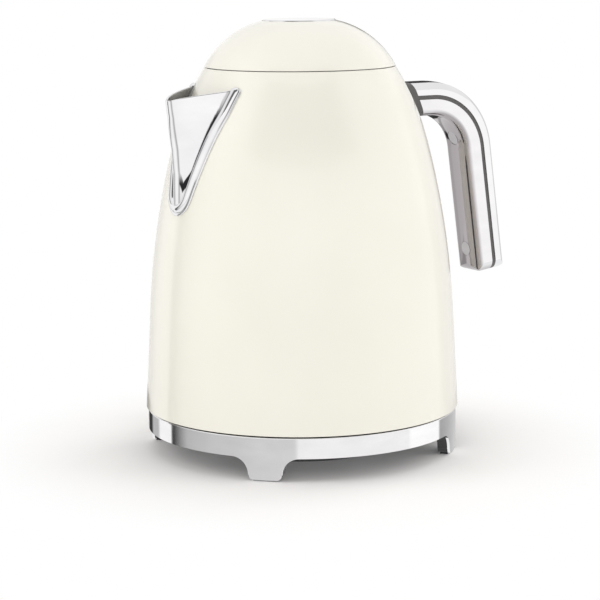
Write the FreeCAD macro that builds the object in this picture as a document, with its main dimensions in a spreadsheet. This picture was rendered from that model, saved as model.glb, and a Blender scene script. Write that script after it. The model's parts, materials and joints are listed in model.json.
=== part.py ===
import FreeCAD, Part
import math
import os
import Sketcher
from FreeCAD import Placement, Rotation, Vector

# A domed electric kettle on its turning base, in millimetres.
# The kettle's axis is Z, the floor is z = 0, the spout points to -X and the handle to +X.

# Sizes that drive the whole kettle
SIZES = [
    # vessel
    ("body_foot_r", 90.8, "radius of the vessel's bottom edge"),
    ("body_foot_z", 25.8, "height of the vessel's bottom edge"),
    ("taper", 2.95, "lean of the straight lower wall, in degrees"),
    ("taper_top_z", 82.5, "height where the straight wall begins to curve"),
    ("waist_curve_r", 480.0, "radius of the long curve above the straight wall"),
    ("shoulder_z", 178.5, "height where the tighter shoulder curve begins"),
    ("seam_r", 54.65, "radius at the seam under the lid"),
    ("seam_z", 221.2, "height of the vessel's upper edge"),
    ("wall", 1.0, "thickness of the vessel's sheet"),
    ("seat_gap", 0.15, "clearance of a piece fixed in its seat"),
    ("skin_gap", 0.05, "clearance of a trim laid on the vessel"),
    ("run_gap", 0.05, "radial clearance of a turning pin"),
    ("slide_gap", 0.3, "clearance of a sliding piece"),
    # base
    ("ring_r", 89.7, "outer radius of the base ring"),
    ("ring_wall", 1.5, "thickness of the base ring"),
    ("ring_bottom_z", 13.2, "lower edge of the ring between the feet"),
    ("ring_top_z", 25.0, "upper edge of the ring"),
    ("ring_edge_r", 0.8, "rounding of the ring's upper edge"),
    ("foot_clear", 0.8, "height of the steel foot over the floor"),
    ("foot_half", 9.1, "half width of a foot at the floor"),
    ("foot_corner", 2.4, "rounding of a foot's lower corner"),
    ("foot_draft", 0.5, "widening of a foot before its flare"),
    ("foot_flare", 9.4, "radius of the flare from foot to ring"),
    ("foot_rise", 2.0, "overlap of a foot with the ring"),
    ("foot_depth", 5.5, "radial depth of the block behind a foot"),
    ("pad_thick", 1.4, "thickness of a rubber foot pad"),
    ("pad_half", 7.0, "half width of a rubber foot pad"),
    ("pad_margin", 0.6, "edge left round a rubber foot pad"),
    ("tray_top_z", 24.4, "upper face of the base tray"),
    ("tray_sheet", 2.4, "thickness of the base tray"),
    ("tray_hole_r", 19.0, "radius of the hole in the tray"),
    ("tray_ledge", 2.6, "height of the ledge that carries the bottom cover"),
    ("base_cover_sheet", 2.0, "thickness of the base's bottom cover"),
    ("post_r", 9.0, "radius of the post under the base's middle"),
    ("drum_r", 40.0, "inner radius of the cord drum"),
    ("drum_wall", 2.5, "thickness of the cord drum's wall"),
    ("drum_flange_r", 54.0, "radius of the cord drum's flange"),
    ("drum_floor_z", 3.0, "lower face of the cord drum"),
    ("drum_flange", 1.6, "thickness of the cord drum's flange"),
    ("grommet_r", 3.2, "radius of the cord grommet's neck"),
    ("grommet_lip", 1.8, "step and thickness of the grommet's lips"),
    ("grommet_bore_r", 2.0, "radius of the grommet's bore"),
    ("base_screw_place_r", 62.0, "radius of the base screws' circle"),
    ("base_screw_r", 1.75, "radius of a base screw"),
    ("base_screw_head_r", 3.5, "radius of a base screw's head"),
    ("base_screw_head", 2.2, "height of a base screw's head"),
    ("boss_wall", 2.6, "thickness of a screw boss"),
    # plug and socket
    ("socket_r", 15.5, "radius of the socket tower"),
    ("socket_top_z", 35.0, "top of the socket tower"),
    ("socket_flange_r", 24.0, "radius of the socket's flange"),
    ("socket_flange", 2.5, "thickness of the socket's flange"),
    ("ring_slot_r", 10.0, "inner radius of the socket's ring slot"),
    ("ring_slot", 2.4, "width of the socket's ring slot"),
    ("ring_slot_floor_z", 20.4, "floor of the socket's ring slot"),
    ("pin_hole_r", 3.2, "radius of the socket's centre hole"),
    ("pin_hole_floor_z", 18.8, "floor of the socket's centre hole"),
    ("contact_thick", 1.5, "height of a contact in the socket"),
    ("bush_wall", 2.5, "thickness of the turning bush"),
    ("bush_top_z", 33.0, "top of the turning bush"),
    ("bush_gap", 0.08, "radial clearance of the bush on the tower"),
    ("blade_thick", 0.7, "thickness of the ring blade"),
    # under the water
    ("rib_r", 70.0, "inner radius of the kettle's standing rib"),
    ("rib_wide", 3.0, "width of the standing rib"),
    ("cover_z", 27.6, "lower face of the kettle's bottom cover"),
    ("cover_sheet", 2.0, "thickness of the bottom cover"),
    ("cover_rim", 5.4, "height of the bottom cover's rim"),
    ("housing_r", 27.0, "radius of the control housing"),
    ("housing_flange_r", 30.0, "radius of the control housing's flange"),
    ("housing_flange", 2.4, "thickness of the control housing's flange"),
    ("housing_neck", 1.7, "thickness of the control housing's neck"),
    ("recess_roof_z", 36.2, "roof of the plug recess"),
    ("disc_r", 8.0, "radius of a bimetal disc"),
    ("disc_place", 13.0, "distance of a bimetal disc from the axis"),
    ("disc_thick", 0.6, "thickness of a bimetal disc"),
    ("plate_z", 48.0, "lower face of the heater plate"),
    ("plate_sheet", 1.0, "thickness of the heater plate"),
    ("plate_rim", 6.0, "height of the heater plate's rim"),
    ("plate_seal_wall", 1.0, "thickness of the seal round the heater plate"),
    ("spreader_r", 52.0, "radius of the heat spreader"),
    ("spreader_thick", 3.0, "thickness of the heat spreader"),
    ("element_r", 36.0, "radius of the heating element's loop"),
    ("element_tube_r", 3.2, "radius of the heating element's tube"),
    ("element_gap", 40.0, "gap in the element's loop, in degrees"),
    ("terminal_r", 1.2, "radius of an element terminal"),
    ("terminal_long", 8.0, "length of an element terminal"),
    ("steam_x", 56.0, "steam tube, towards the handle"),
    ("steam_y", 24.0, "steam tube, to the side"),
    ("steam_r", 3.8, "outer radius of the steam tube"),
    ("steam_bore_r", 2.8, "bore of the steam tube"),
    ("steam_foot_z", 40.0, "lower end of the steam tube"),
    ("steam_top_z", 198.0, "upper end of the steam tube"),
    ("steam_seal_r", 6.5, "radius of the steam tube's seal"),
    ("steam_seal", 2.5, "height of the steam tube's seal"),
    ("cover_screw_place_r", 60.0, "radius of the bottom screws' circle"),
    ("cover_screw_r", 1.6, "radius of a bottom screw"),
    ("cover_screw_head_r", 3.2, "radius of a bottom screw's head"),
    ("cover_screw_head", 1.8, "height of a bottom screw's head"),
    ("pillar_r", 4.5, "radius of a pillar between heater plate and cover"),
    # switch
    ("lever_x", 80.0, "switch axis, towards the handle"),
    ("lever_z", 34.0, "height of the switch axis"),
    ("lever_half", 7.0, "half width of the switch lever"),
    ("lever_hub_r", 3.9, "radius of the lever's hub"),
    ("lever_pin_r", 1.5, "radius of the lever's pin"),
    ("lever_tip_x", 102.0, "outer end of the lever"),
    ("lever_blade", 1.7, "half thickness of the lever's outer arm"),
    ("lever_arm_x", 60.0, "inner end of the lever"),
    ("lever_arm", 1.0, "half thickness of the lever's inner arm"),
    ("lever_arm_half", 3.0, "half width of the lever's inner arm"),
    ("ear_thick", 3.0, "thickness of an ear that holds a pin"),
    ("ear_half", 4.0, "half length of an ear along the kettle"),
    ("switch_slot_half", 7.6, "half width of the switch opening"),
    ("switch_slot_low_z", 29.2, "lower edge of the switch opening"),
    ("switch_slot_top_z", 37.6, "upper edge of the switch opening"),
    ("bezel_edge", 2.3, "width of the bezel round the switch"),
    ("bezel_proud", 0.9, "height of the bezel over the vessel"),
    ("rocker_x", 46.0, "rocker axis, towards the handle"),
    ("rocker_z", 35.0, "height of the rocker axis"),
    ("rocker_half", 6.0, "half width of the rocker"),
    ("rocker_hub_r", 3.3, "radius of the rocker's hub"),
    ("rocker_pin_r", 1.2, "radius of the rocker's pin"),
    ("rocker_tip_x", 64.0, "outer end of the rocker"),
    ("rocker_arm", 2.0, "thickness of the rocker's arm"),
    # water window
    ("window_half", 4.5, "half width of the water window"),
    ("window_low_z", 70.0, "lower end of the water window"),
    ("window_top_z", 150.0, "upper end of the water window"),
    ("window_edge", 3.5, "width of the frame round the window"),
    ("window_proud", 0.9, "height of the frame over the vessel"),
    ("gasket_thick", 0.9, "thickness of the window gasket"),
    ("window_flange", 1.5, "thickness of the window's inner flange"),
    # spout and filter
    ("spout_wall", 1.6, "thickness of the spout's sheet"),
    ("nose_r", 4.3, "rounding of the spout's keel"),
    ("lip_tip_z", 205.4, "height of the lip at its tip"),
    ("lip_back_z", 211.6, "height of the lip at the vessel"),
    ("station_1_z", 146.0, "spout station 1, height"),
    ("station_1_reach", -2.0, "spout station 1, keel out from the vessel"),
    ("station_1_angle", 65.0, "spout station 1, half angle"),
    ("station_1_side", 7.0, "spout station 1, length of a side"),
    ("station_2_z", 164.0, "spout station 2, height"),
    ("station_2_reach", 5.3, "spout station 2, keel out from the vessel"),
    ("station_2_angle", 58.8, "spout station 2, half angle"),
    ("station_2_side", 14.0, "spout station 2, length of a side"),
    ("station_3_z", 180.0, "spout station 3, height"),
    ("station_3_reach", 10.8, "spout station 3, keel out from the vessel"),
    ("station_3_angle", 49.0, "spout station 3, half angle"),
    ("station_3_side", 21.0, "spout station 3, length of a side"),
    ("station_4_z", 196.0, "spout station 4, height"),
    ("station_4_reach", 18.0, "spout station 4, keel out from the vessel"),
    ("station_4_angle", 42.0, "spout station 4, half angle"),
    ("station_4_side", 30.0, "spout station 4, length of a side"),
    ("station_5_z", 213.0, "spout station 5, height"),
    ("station_5_reach", 27.4, "spout station 5, keel out from the vessel"),
    ("station_5_angle", 34.3, "spout station 5, half angle"),
    ("station_5_side", 41.0, "spout station 5, length of a side"),
    ("trim_proud", 2.0, "height of the spout trim over the vessel"),
    ("trim_apex_z", 141.0, "lowest point of the spout trim"),
    ("trim_turn_half", 11.4, "half width where the trim's rounded end begins"),
    ("trim_turn_z", 148.4, "height where the trim's rounded end begins"),
    ("trim_high_half", 26.6, "half width of the trim below its top"),
    ("trim_high_z", 199.0, "height where the trim straightens"),
    ("trim_top_half", 28.0, "half width of the trim at its top"),
    ("trim_top_z", 212.6, "top of the spout trim"),
    ("trim_wide", 4.6, "width of the spout trim"),
    ("trim_inner_apex_z", 146.0, "lowest point of the trim's inner edge"),
    ("hole_low_half", 4.0, "half width of the pouring hole at its foot"),
    ("hole_top_half", 17.0, "half width of the pouring hole at its top"),
    ("hole_low_z", 155.0, "foot of the pouring hole"),
    ("hole_top_z", 196.0, "top of the pouring hole"),
    ("filter_edge", 3.6, "width of the filter frame beyond the hole"),
    ("filter_bar", 1.2, "width of the filter frame inside the hole"),
    ("filter_frame_thick", 2.0, "thickness of the filter frame"),
    ("filter_gap", 0.4, "clearance of the filter behind the vessel"),
    ("mesh_thick", 0.4, "thickness of the filter mesh"),
    # handle
    ("handle_z", 200.2, "height of the handle's centre line"),
    ("handle_root_x", 46.0, "start of the handle's centre line"),
    ("bend_x", 85.4, "where the handle starts to bend"),
    ("bend_r", 35.5, "radius of the bend's centre line"),
    ("lean", 7.7, "outward lean of the lower leg, in degrees"),
    ("handle_end_z", 93.8, "height of the handle's free end"),
    ("handle_half", 12.0, "half width of the handle"),
    ("handle_outer", 9.2, "centre line to the outer face"),
    ("handle_inner", 11.3, "centre line to the inner face"),
    ("handle_crown", 0.5, "crown of the outer and inner faces"),
    ("handle_corner", 5.0, "rounding of the handle's long edges"),
    ("core_up", 1.5, "centre line to the core's outer face"),
    ("core_down", 1.0, "centre line to the core's inner face"),
    ("core_inset", 0.5, "depth of the dark line between the shells"),
    ("handle_end_r", 5.0, "rounding of the free end, seen from the side"),
    ("handle_end_turn", 7.0, "rounding of the free end, seen from behind"),
    ("collar_long", 10.0, "length of the handle's collar at the vessel"),
    ("bracket_x", 56.0, "inner face of the handle bracket"),
    ("bracket_half", 13.0, "half width of the handle bracket"),
    ("bracket_half_z", 7.0, "half height of the handle bracket"),
    ("bolt_r", 2.0, "radius of a handle bolt"),
    ("bolt_head_r", 3.6, "radius of a handle bolt's head"),
    ("bolt_head", 3.0, "height of a handle bolt's head"),
    ("bolt_place", 6.0, "distance of a handle bolt from the middle"),
    ("bolt_tip_x", 72.0, "tip of a handle bolt"),
    ("cap_r", 4.2, "radius of a screw cap"),
    ("cap_thick", 1.2, "thickness of a screw cap"),
    ("cap_bend_angle", 23.2, "angle of the upper cap round the bend, in degrees"),
    ("cap_leg_z", 107.9, "height of the lower cap"),
    ("handle_screw_r", 1.5, "radius of a handle screw"),
    ("handle_screw_head_r", 3.0, "radius of a handle screw's head"),
    ("handle_screw_head", 2.0, "height of a handle screw's head"),
    ("handle_screw_long", 11.5, "length of a handle screw"),
    # mouth and hinge
    ("mouth_r", 46.0, "radius of the mouth"),
    ("collar_bore_r", 51.0, "radius of the collar above its step"),
    ("collar_low_z", 209.0, "lower edge of the collar"),
    ("collar_lip", 2.0, "thickness of the collar's lower lip"),
    ("collar_flange_z", 212.5, "underside of the collar's flange"),
    ("collar_step_z", 214.5, "step that carries the lid's seal"),
    ("collar_top_z", 220.8, "top of the collar"),
    ("hinge_out", 2.2, "hinge axis beyond the seam"),
    ("hinge_up", 0.4, "hinge axis above the seam"),
    ("hinge_pin_r", 1.1, "radius of the hinge pin"),
    ("hinge_eye_r", 2.3, "radius of a hinge eye"),
    ("lid_lug_half", 4.4, "half width of the lid's hinge lug"),
    ("hinge_ear", 2.4, "thickness of a hinge ear"),
    ("hinge_side_gap", 0.5, "clearance beside the hinge lug"),
    ("hinge_notch_z", 216.4, "foot of the hinge notch in the vessel"),
    ("lug_up", 0.8, "hinge lug above the axis"),
    ("lug_low_z", 219.0, "underside of the lid's hinge lug"),
    ("lug_notch_z", 218.0, "foot of the lug's notch in the collar"),
    ("catch_half", 4.5, "half width of the catch spring"),
    ("catch_pocket_half", 6.0, "half width of the catch pocket"),
    ("catch_pocket_x", 53.2, "depth of the catch pocket from the axis"),
    ("catch_pocket_z", 216.2, "floor of the catch pocket"),
    ("catch_sheet", 0.4, "thickness of the catch spring"),
    ("catch_hook_z", 218.6, "underside of the catch's hook"),
    ("catch_top_z", 220.4, "top of the catch spring"),
    ("catch_hook_x", 51.2, "tip of the catch's hook from the axis"),
    # lid
    ("lid_gap", 0.5, "gap of the seam"),
    ("dome_notch_up", 1.7, "height of the dome's hinge notch over the axis"),
    ("dome_mid_r", 43.85, "dome, radius of a middle point"),
    ("dome_mid_z", 235.5, "dome, height of a middle point"),
    ("dome_top_z", 247.2, "dome, height at the button"),
    ("dome_wall", 1.2, "thickness of the dome"),
    ("button_r", 20.7, "radius of the lid button"),
    ("button_gap", 0.6, "gap round the lid button"),
    ("button_top_z", 248.0, "top of the lid button"),
    ("button_edge_r", 0.8, "rounding of the button's edge"),
    ("button_flange", 1.9, "step of the button's retaining flange"),
    ("button_flange_z", 242.6, "underside of the button"),
    ("stem_half", 2.5, "half width of the button's stem"),
    ("stem_back_x", -3.0, "front face of the stem"),
    ("stem_wide_x", 4.5, "rear face of the stem above its wedge"),
    ("stem_tip_z", 217.5, "tip of the stem"),
    ("press", 3.0, "travel of the button and of the latch"),
    ("lid_floor_z", 211.0, "underside of the lid's pan"),
    ("lid_floor", 1.5, "thickness of the lid's pan"),
    ("plug_gap", 1.0, "clearance of the pan in the mouth"),
    ("pan_gap", 0.5, "clearance of the pan in the collar"),
    ("pan_wall", 1.3, "thickness of the pan's wall"),
    ("pan_ledge_z", 215.3, "underside of the pan's ledge"),
    ("pan_ledge", 1.2, "thickness of the pan's ledge"),
    ("pan_flange_r", 52.0, "radius of the pan's flange"),
    ("pan_flange_z", 221.5, "underside of the pan's flange"),
    ("pan_flange", 1.8, "thickness of the pan's flange"),
    ("cover_disc_r", 44.0, "radius of the steel disc under the lid"),
    ("cover_disc", 0.8, "thickness of the steel disc under the lid"),
    ("seal_in", 0.6, "step of the lid seal inside the mouth's edge"),
    ("seal_thick", 0.6, "thickness of the lid seal"),
    ("latch_z", 216.6, "underside of the latch slide"),
    ("latch_thick", 1.4, "thickness of the latch slide"),
    ("latch_half", 5.0, "half width of the latch slide"),
    ("latch_nose_x", 52.3, "tip of the latch from the axis"),
    ("latch_tail_x", 22.0, "rear end of the latch slide"),
    ("latch_tail", 2.5, "thickness of the latch's upright tail"),
    ("latch_tail_z", 221.0, "top of the latch's tail"),
    ("latch_slot_half", 3.0, "half width of the slot in the latch"),
    ("rail_front_x", 38.0, "front end of the latch rail, from the axis"),
    ("rail_back_x", 16.0, "rear end of the front latch rail, from the axis"),
    ("spring_stop_x", 34.0, "stop of the latch spring"),
    ("guide_half_x", 13.0, "half length of the button guide"),
    ("guide_half_y", 11.0, "half width of the button guide"),
    ("guide_top_z", 223.0, "top of the button guide"),
    ("guide_roof", 2.0, "thickness of the button guide's roof"),
    ("tunnel_half", 5.6, "half width of the tunnel under the guide"),
    ("stem_gap", 0.5, "clearance of the stem in its guide"),
    ("lid_screw_x", 9.0, "lid screws, towards the handle"),
    ("lid_screw_y", 8.3, "lid screws, to the side"),
    ("lid_screw_r", 1.1, "radius of a lid screw"),
    ("lid_screw_head_r", 2.4, "radius of a lid screw's head"),
    ("lid_screw_head", 1.0, "height of a lid screw's head"),
    ("lid_screw_tip_z", 219.0, "tip of a lid screw"),
    # springs
    ("button_coil_r", 9.0, "mean radius of the button spring"),
    ("button_wire_r", 0.6, "wire radius of the button spring"),
    ("button_turns", 5.0, "turns of the button spring"),
    ("latch_coil_r", 1.6, "mean radius of the latch spring"),
    ("latch_wire_r", 0.3, "wire radius of the latch spring"),
    ("latch_turns", 7.0, "turns of the latch spring"),
    ("lid_coil_r", 1.75, "mean radius of the lid spring"),
    ("lid_wire_r", 0.3, "wire radius of the lid spring"),
    ("lid_turns", 3.0, "turns of the lid spring"),
    ("lid_coil_half", 1.7, "half length of the lid spring"),
]

doc = FreeCAD.newDocument("Kettle")
sheet = doc.addObject("Spreadsheet::Sheet", "Sizes")
for row, (name, number, meaning) in enumerate(SIZES, start=1):
    sheet.set("A%d" % row, meaning)
    sheet.set("B%d" % row, str(number))
    sheet.setAlias("B%d" % row, name)
doc.recompute()


# A size keeps its number together with the sheet formula it comes from
class Size:
    def __init__(self, text, number):
        self.text = text
        self.number = number

    def __add__(self, other):
        other = as_size(other)
        return Size("(%s + %s)" % (self.text, other.text), self.number + other.number)

    def __sub__(self, other):
        other = as_size(other)
        return Size("(%s - %s)" % (self.text, other.text), self.number - other.number)

    def __mul__(self, other):
        other = as_size(other)
        return Size("(%s * %s)" % (self.text, other.text), self.number * other.number)

    def __truediv__(self, other):
        other = as_size(other)
        return Size("(%s / %s)" % (self.text, other.text), self.number / other.number)

    def __neg__(self):
        return Size("(0 - %s)" % self.text, -self.number)

    __radd__ = __add__
    __rmul__ = __mul__

    def __rsub__(self, other):
        return as_size(other) - self


def as_size(thing):
    if isinstance(thing, Size):
        return thing
    return Size("(%r)" % float(thing), float(thing))


def sine(angle):
    return Size("sin(%s)" % angle.text, math.sin(math.radians(angle.number)))


def cosine(angle):
    return Size("cos(%s)" % angle.text, math.cos(math.radians(angle.number)))


def tangent(angle):
    return Size("tan(%s)" % angle.text, math.tan(math.radians(angle.number)))


class SheetSizes:
    pass


dim = SheetSizes()
for name, number, meaning in SIZES:
    setattr(dim, name, Size("Sizes." + name, float(getattr(sheet, name))))
DIAGONAL = Size("sqrt(0.5)", math.sqrt(0.5))


# Sketches: every corner is tied to the sheet
def flat(across, up):
    return Vector(as_size(across).number, as_size(up).number, 0)


def tie(sketch, piece, spot, across, up):
    for kind, size in (("DistanceX", across), ("DistanceY", up)):
        size = as_size(size)
        place = sketch.addConstraint(Sketcher.Constraint(kind, -1, 1, piece, spot, size.number))
        name = "corner_%d" % place
        sketch.renameConstraint(place, name)
        sketch.setExpression("Constraints." + name, size.text)


def arc_through(start, middle, end):
    circle = Part.Circle(start, middle, end)
    centre = Vector(circle.Center)
    turn = (middle - start).cross(end - middle).z
    first, last = (start, end) if turn > 0 else (end, start)
    angles = [math.atan2(spot.y - centre.y, spot.x - centre.x) for spot in (first, last)]
    if angles[1] < angles[0]:
        angles[1] += 2 * math.pi
    round_circle = Part.Circle(centre, Vector(0, 0, 1), circle.Radius)
    return Part.ArcOfCircle(round_circle, angles[0], angles[1]), turn > 0


def draw(sketch, corners):
    count = len(corners)
    spots = []
    for index in range(count):
        here = corners[index]
        after = corners[(index + 1) % count]
        start = flat(here[0], here[1])
        end = flat(after[0], after[1])
        if len(after) == 2:
            sketch.addGeometry(Part.LineSegment(start, end), False)
            spots.append((1, 2))
        else:
            arc, leftward = arc_through(start, flat(after[2], after[3]), end)
            sketch.addGeometry(arc, False)
            spots.append((1, 2) if leftward else (2, 1))
    for index in range(count):
        after = (index + 1) % count
        joint = Sketcher.Constraint("Coincident", index, spots[index][1], after, spots[after][0])
        sketch.addConstraint(joint)
        tie(sketch, index, spots[index][0], corners[index][0], corners[index][1])
    for index in range(count):
        after = corners[(index + 1) % count]
        if len(after) == 4:
            middle = sketch.addGeometry(Part.Point(flat(after[2], after[3])), True)
            sketch.addConstraint(Sketcher.Constraint("PointOnObject", middle, 1, index))
            tie(sketch, middle, 1, after[2], after[3])


def sketch_in(body, plane, label):
    sketch = body.newObject("Sketcher::SketchObject", label)
    base = [item for item in body.Origin.OriginFeatures if item.Role == plane][0]
    sketch.AttachmentSupport = [(base, "")]
    sketch.MapMode = "FlatFace"
    return sketch


def new_body(label):
    body = doc.addObject("PartDesign::Body", label)
    body.Label = label
    return body


# Solids
def turned(label, corners):
    body = new_body(label)
    sketch = sketch_in(body, "XZ_Plane", label + "_profile")
    draw(sketch, corners)
    spin = body.newObject("PartDesign::Revolution", label + "_turned")
    spin.Profile = sketch
    spin.ReferenceAxis = (sketch, ["V_Axis"])
    spin.Angle = 360
    return body


def padded(label, plane, corners, start, end):
    body = new_body(label)
    sketch = sketch_in(body, plane, label + "_outline")
    draw(sketch, corners)
    start = as_size(start)
    pad = body.newObject("PartDesign::Pad", label + "_pad")
    pad.Profile = sketch
    pad.setExpression("Length", (as_size(end) - start).text)
    offset = -start if plane == "XZ_Plane" else start
    sketch.setExpression("AttachmentOffset.Base.z", offset.text)
    if plane == "XZ_Plane":
        pad.Reversed = True
    return body


def box(label, low, high):
    solid = doc.addObject("Part::Box", label)
    for side, axis, one, other in zip(("Length", "Width", "Height"), "xyz", low, high):
        one = as_size(one)
        solid.setExpression(side, (as_size(other) - one).text)
        solid.setExpression("Placement.Base." + axis, one.text)
    return solid


def rod(label, radius, axis, start, length):
    solid = doc.addObject("Part::Cylinder", label)
    solid.setExpression("Radius", as_size(radius).text)
    solid.setExpression("Height", as_size(length).text)
    turn = {"x": Rotation(Vector(0, 1, 0), 90), "y": Rotation(Vector(1, 0, 0), -90), "z": Rotation()}
    solid.Placement = Placement(Vector(0, 0, 0), turn[axis])
    for letter, size in zip("xyz", start):
        solid.setExpression("Placement.Base." + letter, as_size(size).text)
    return solid


def tilted_rod(label, radius, start, length, rise):
    solid = doc.addObject("Part::Cylinder", label)
    solid.setExpression("Radius", as_size(radius).text)
    solid.setExpression("Height", as_size(length).text)
    solid.Placement = Placement(Vector(0, 0, 0), Rotation(Vector(0, 1, 0), 90 - rise.number))
    solid.setExpression("Placement.Rotation.Angle", (90 - rise).text)
    for letter, size in zip("xyz", start):
        solid.setExpression("Placement.Base." + letter, as_size(size).text)
    return solid


def cut(label, solid, *tools):
    for index, tool in enumerate(tools):
        result = doc.addObject("Part::Cut", "%s_cut_%d" % (label, index))
        result.Base = solid
        result.Tool = tool
        solid = result
    solid.Label = label
    return solid


def fuse(label, *solids):
    result = doc.addObject("Part::MultiFuse", label)
    result.Shapes = list(solids)
    result.Label = label
    return result


def common(label, one, other):
    result = doc.addObject("Part::Common", label)
    result.Base = one
    result.Tool = other
    result.Label = label
    return result


def group(label, *solids):
    result = doc.addObject("Part::Compound", label)
    result.Links = list(solids)
    result.Label = label
    return result


HALF_TURN = 0.5


def coil(label, mean_r, wire_r, height, turns, start, direction):
    helix = doc.addObject("Part::Helix", label + "_line")
    helix.setExpression("Radius", mean_r.text)
    helix.setExpression("Height", height.text)
    helix.setExpression("Pitch", (height / turns).text)
    helix.SegmentLength = HALF_TURN
    wire = doc.addObject("Part::Circle", label + "_wire")
    wire.setExpression("Radius", wire_r.text)
    wire.Placement = Placement(Vector(0, 0, 0), Rotation(Vector(1, 0, 0), 90))
    wire.setExpression("Placement.Base.x", mean_r.text)
    spring = doc.addObject("Part::Sweep", label)
    spring.Sections = [wire]
    spring.Spine = (helix, [])
    spring.Solid = True
    spring.Frenet = True
    turn = {"x": Rotation(Vector(0, 1, 0), 90), "y": Rotation(Vector(1, 0, 0), -90), "z": Rotation()}
    spring.Placement = Placement(Vector(0, 0, 0), turn[direction])
    for letter, size in zip("xyz", start):
        spring.setExpression("Placement.Base." + letter, as_size(size).text)
    spring.Label = label
    return spring


NODES = []


def keep(*solids):
    NODES.extend(solids)


# The vessel's side line, drawn inset by a given amount
def draw_side_line(sketch, inset):
    lean = math.radians(dim.taper.number)
    foot = (dim.body_foot_r - inset, dim.body_foot_z)
    bend = (foot[0] - (dim.taper_top_z - dim.body_foot_z) * tangent(dim.taper), dim.taper_top_z)
    rim = (dim.seam_r - inset, dim.seam_z)
    waist_r = dim.waist_curve_r.number
    waist_centre = flat(*bend) - Vector(math.cos(lean), math.sin(lean), 0) * waist_r
    turn = math.asin((dim.shoulder_z.number - waist_centre.y) / waist_r)
    inward = Vector(-math.cos(turn), -math.sin(turn), 0)
    shoulder = waist_centre - inward * waist_r
    upward = Vector(inward.y, -inward.x, 0)
    span = flat(*rim) - shoulder
    bulge = math.tan(math.atan2(upward.cross(span).z, upward.dot(span)) / 2) / 2
    crest = shoulder + span * 0.5 + Vector(span.y, -span.x, 0) * bulge
    shoulder_arc, leftward = arc_through(shoulder, crest, flat(*rim))
    arc_low, arc_high = (1, 2) if leftward else (2, 1)
    waist_circle = Part.Circle(waist_centre, Vector(0, 0, 1), waist_r)
    sketch.addGeometry(Part.LineSegment(flat(*foot), flat(*bend)), False)
    sketch.addGeometry(Part.ArcOfCircle(waist_circle, lean, turn), False)
    sketch.addGeometry(shoulder_arc, False)
    tie(sketch, 0, 1, *foot)
    tie(sketch, 0, 2, *bend)
    sketch.addConstraint(Sketcher.Constraint("Tangent", 0, 2, 1, 1))
    sketch.addConstraint(Sketcher.Constraint("Tangent", 1, 2, 2, arc_low))
    place = sketch.addConstraint(Sketcher.Constraint("Radius", 1, waist_r))
    sketch.renameConstraint(place, "waist_curve")
    sketch.setExpression("Constraints.waist_curve", dim.waist_curve_r.text)
    place = sketch.addConstraint(Sketcher.Constraint("DistanceY", -1, 1, 1, 2, dim.shoulder_z.number))
    sketch.renameConstraint(place, "shoulder")
    sketch.setExpression("Constraints.shoulder", dim.shoulder_z.text)
    tie(sketch, 2, arc_high, *rim)
    return arc_high


# The side line once more, with the vessel's radius read off where the spout needs it
side_line = doc.addObject("Sketcher::SketchObject", "SideLine")
side_line.Placement = Placement(Vector(0, 0, 0), Rotation(Vector(1, 0, 0), 90))
draw_side_line(side_line, as_size(0))


def radius_at(name, height, piece):
    guess = 70.0
    point = side_line.addGeometry(Part.Point(Vector(guess, height.number, 0)), True)
    side_line.addConstraint(Sketcher.Constraint("PointOnObject", point, 1, piece))
    place = side_line.addConstraint(Sketcher.Constraint("DistanceY", -1, 1, point, 1, height.number))
    side_line.renameConstraint(place, name + "_height")
    side_line.setExpression("Constraints.%s_height" % name, height.text)
    place = side_line.addConstraint(Sketcher.Constraint("DistanceX", -1, 1, point, 1, guess))
    side_line.renameConstraint(place, name)
    side_line.setDriving(place, False)
    doc.recompute()
    return Size("(SideLine.Constraints.%s / (1 mm))" % name, side_line.getDatum(name).Value)


solids_by_inset = {}


def vessel_solid(inset):
    inset = as_size(inset)
    if inset.text not in solids_by_inset:
        label = "vessel_solid_%d" % len(solids_by_inset)
        body = new_body(label)
        sketch = sketch_in(body, "XZ_Plane", label + "_profile")
        rim_end = draw_side_line(sketch, inset)
        corners = [(dim.seam_r - inset, dim.seam_z), (0, dim.seam_z), (0, dim.body_foot_z)]
        corners.append((dim.body_foot_r - inset, dim.body_foot_z))
        for index in range(3):
            ends = flat(*corners[index]), flat(*corners[index + 1])
            sketch.addGeometry(Part.LineSegment(*ends), False)
        sketch.addConstraint(Sketcher.Constraint("Coincident", 2, rim_end, 3, 1))
        sketch.addConstraint(Sketcher.Constraint("Coincident", 3, 2, 4, 1))
        sketch.addConstraint(Sketcher.Constraint("Coincident", 4, 2, 5, 1))
        sketch.addConstraint(Sketcher.Constraint("Coincident", 5, 2, 0, 1))
        tie(sketch, 3, 2, *corners[1])
        tie(sketch, 4, 2, *corners[2])
        spin = body.newObject("PartDesign::Revolution", label + "_turned")
        spin.Profile = sketch
        spin.ReferenceAxis = (sketch, ["V_Axis"])
        spin.Angle = 360
        solids_by_inset[inset.text] = body
    return solids_by_inset[inset.text]


# A patch of sheet that follows the vessel between two insets, cut out by a prism
def patch(label, outer_inset, inner_inset, prism):
    sheet_label = label + "_sheet"
    curved = cut(sheet_label, vessel_solid(outer_inset), vessel_solid(inner_inset))
    return common(label, curved, prism)


def lower_inner_r(height):
    return dim.body_foot_r - dim.wall - (height - dim.body_foot_z) * tangent(dim.taper)


NEAR = 20.0
FAR = 130.0


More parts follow.
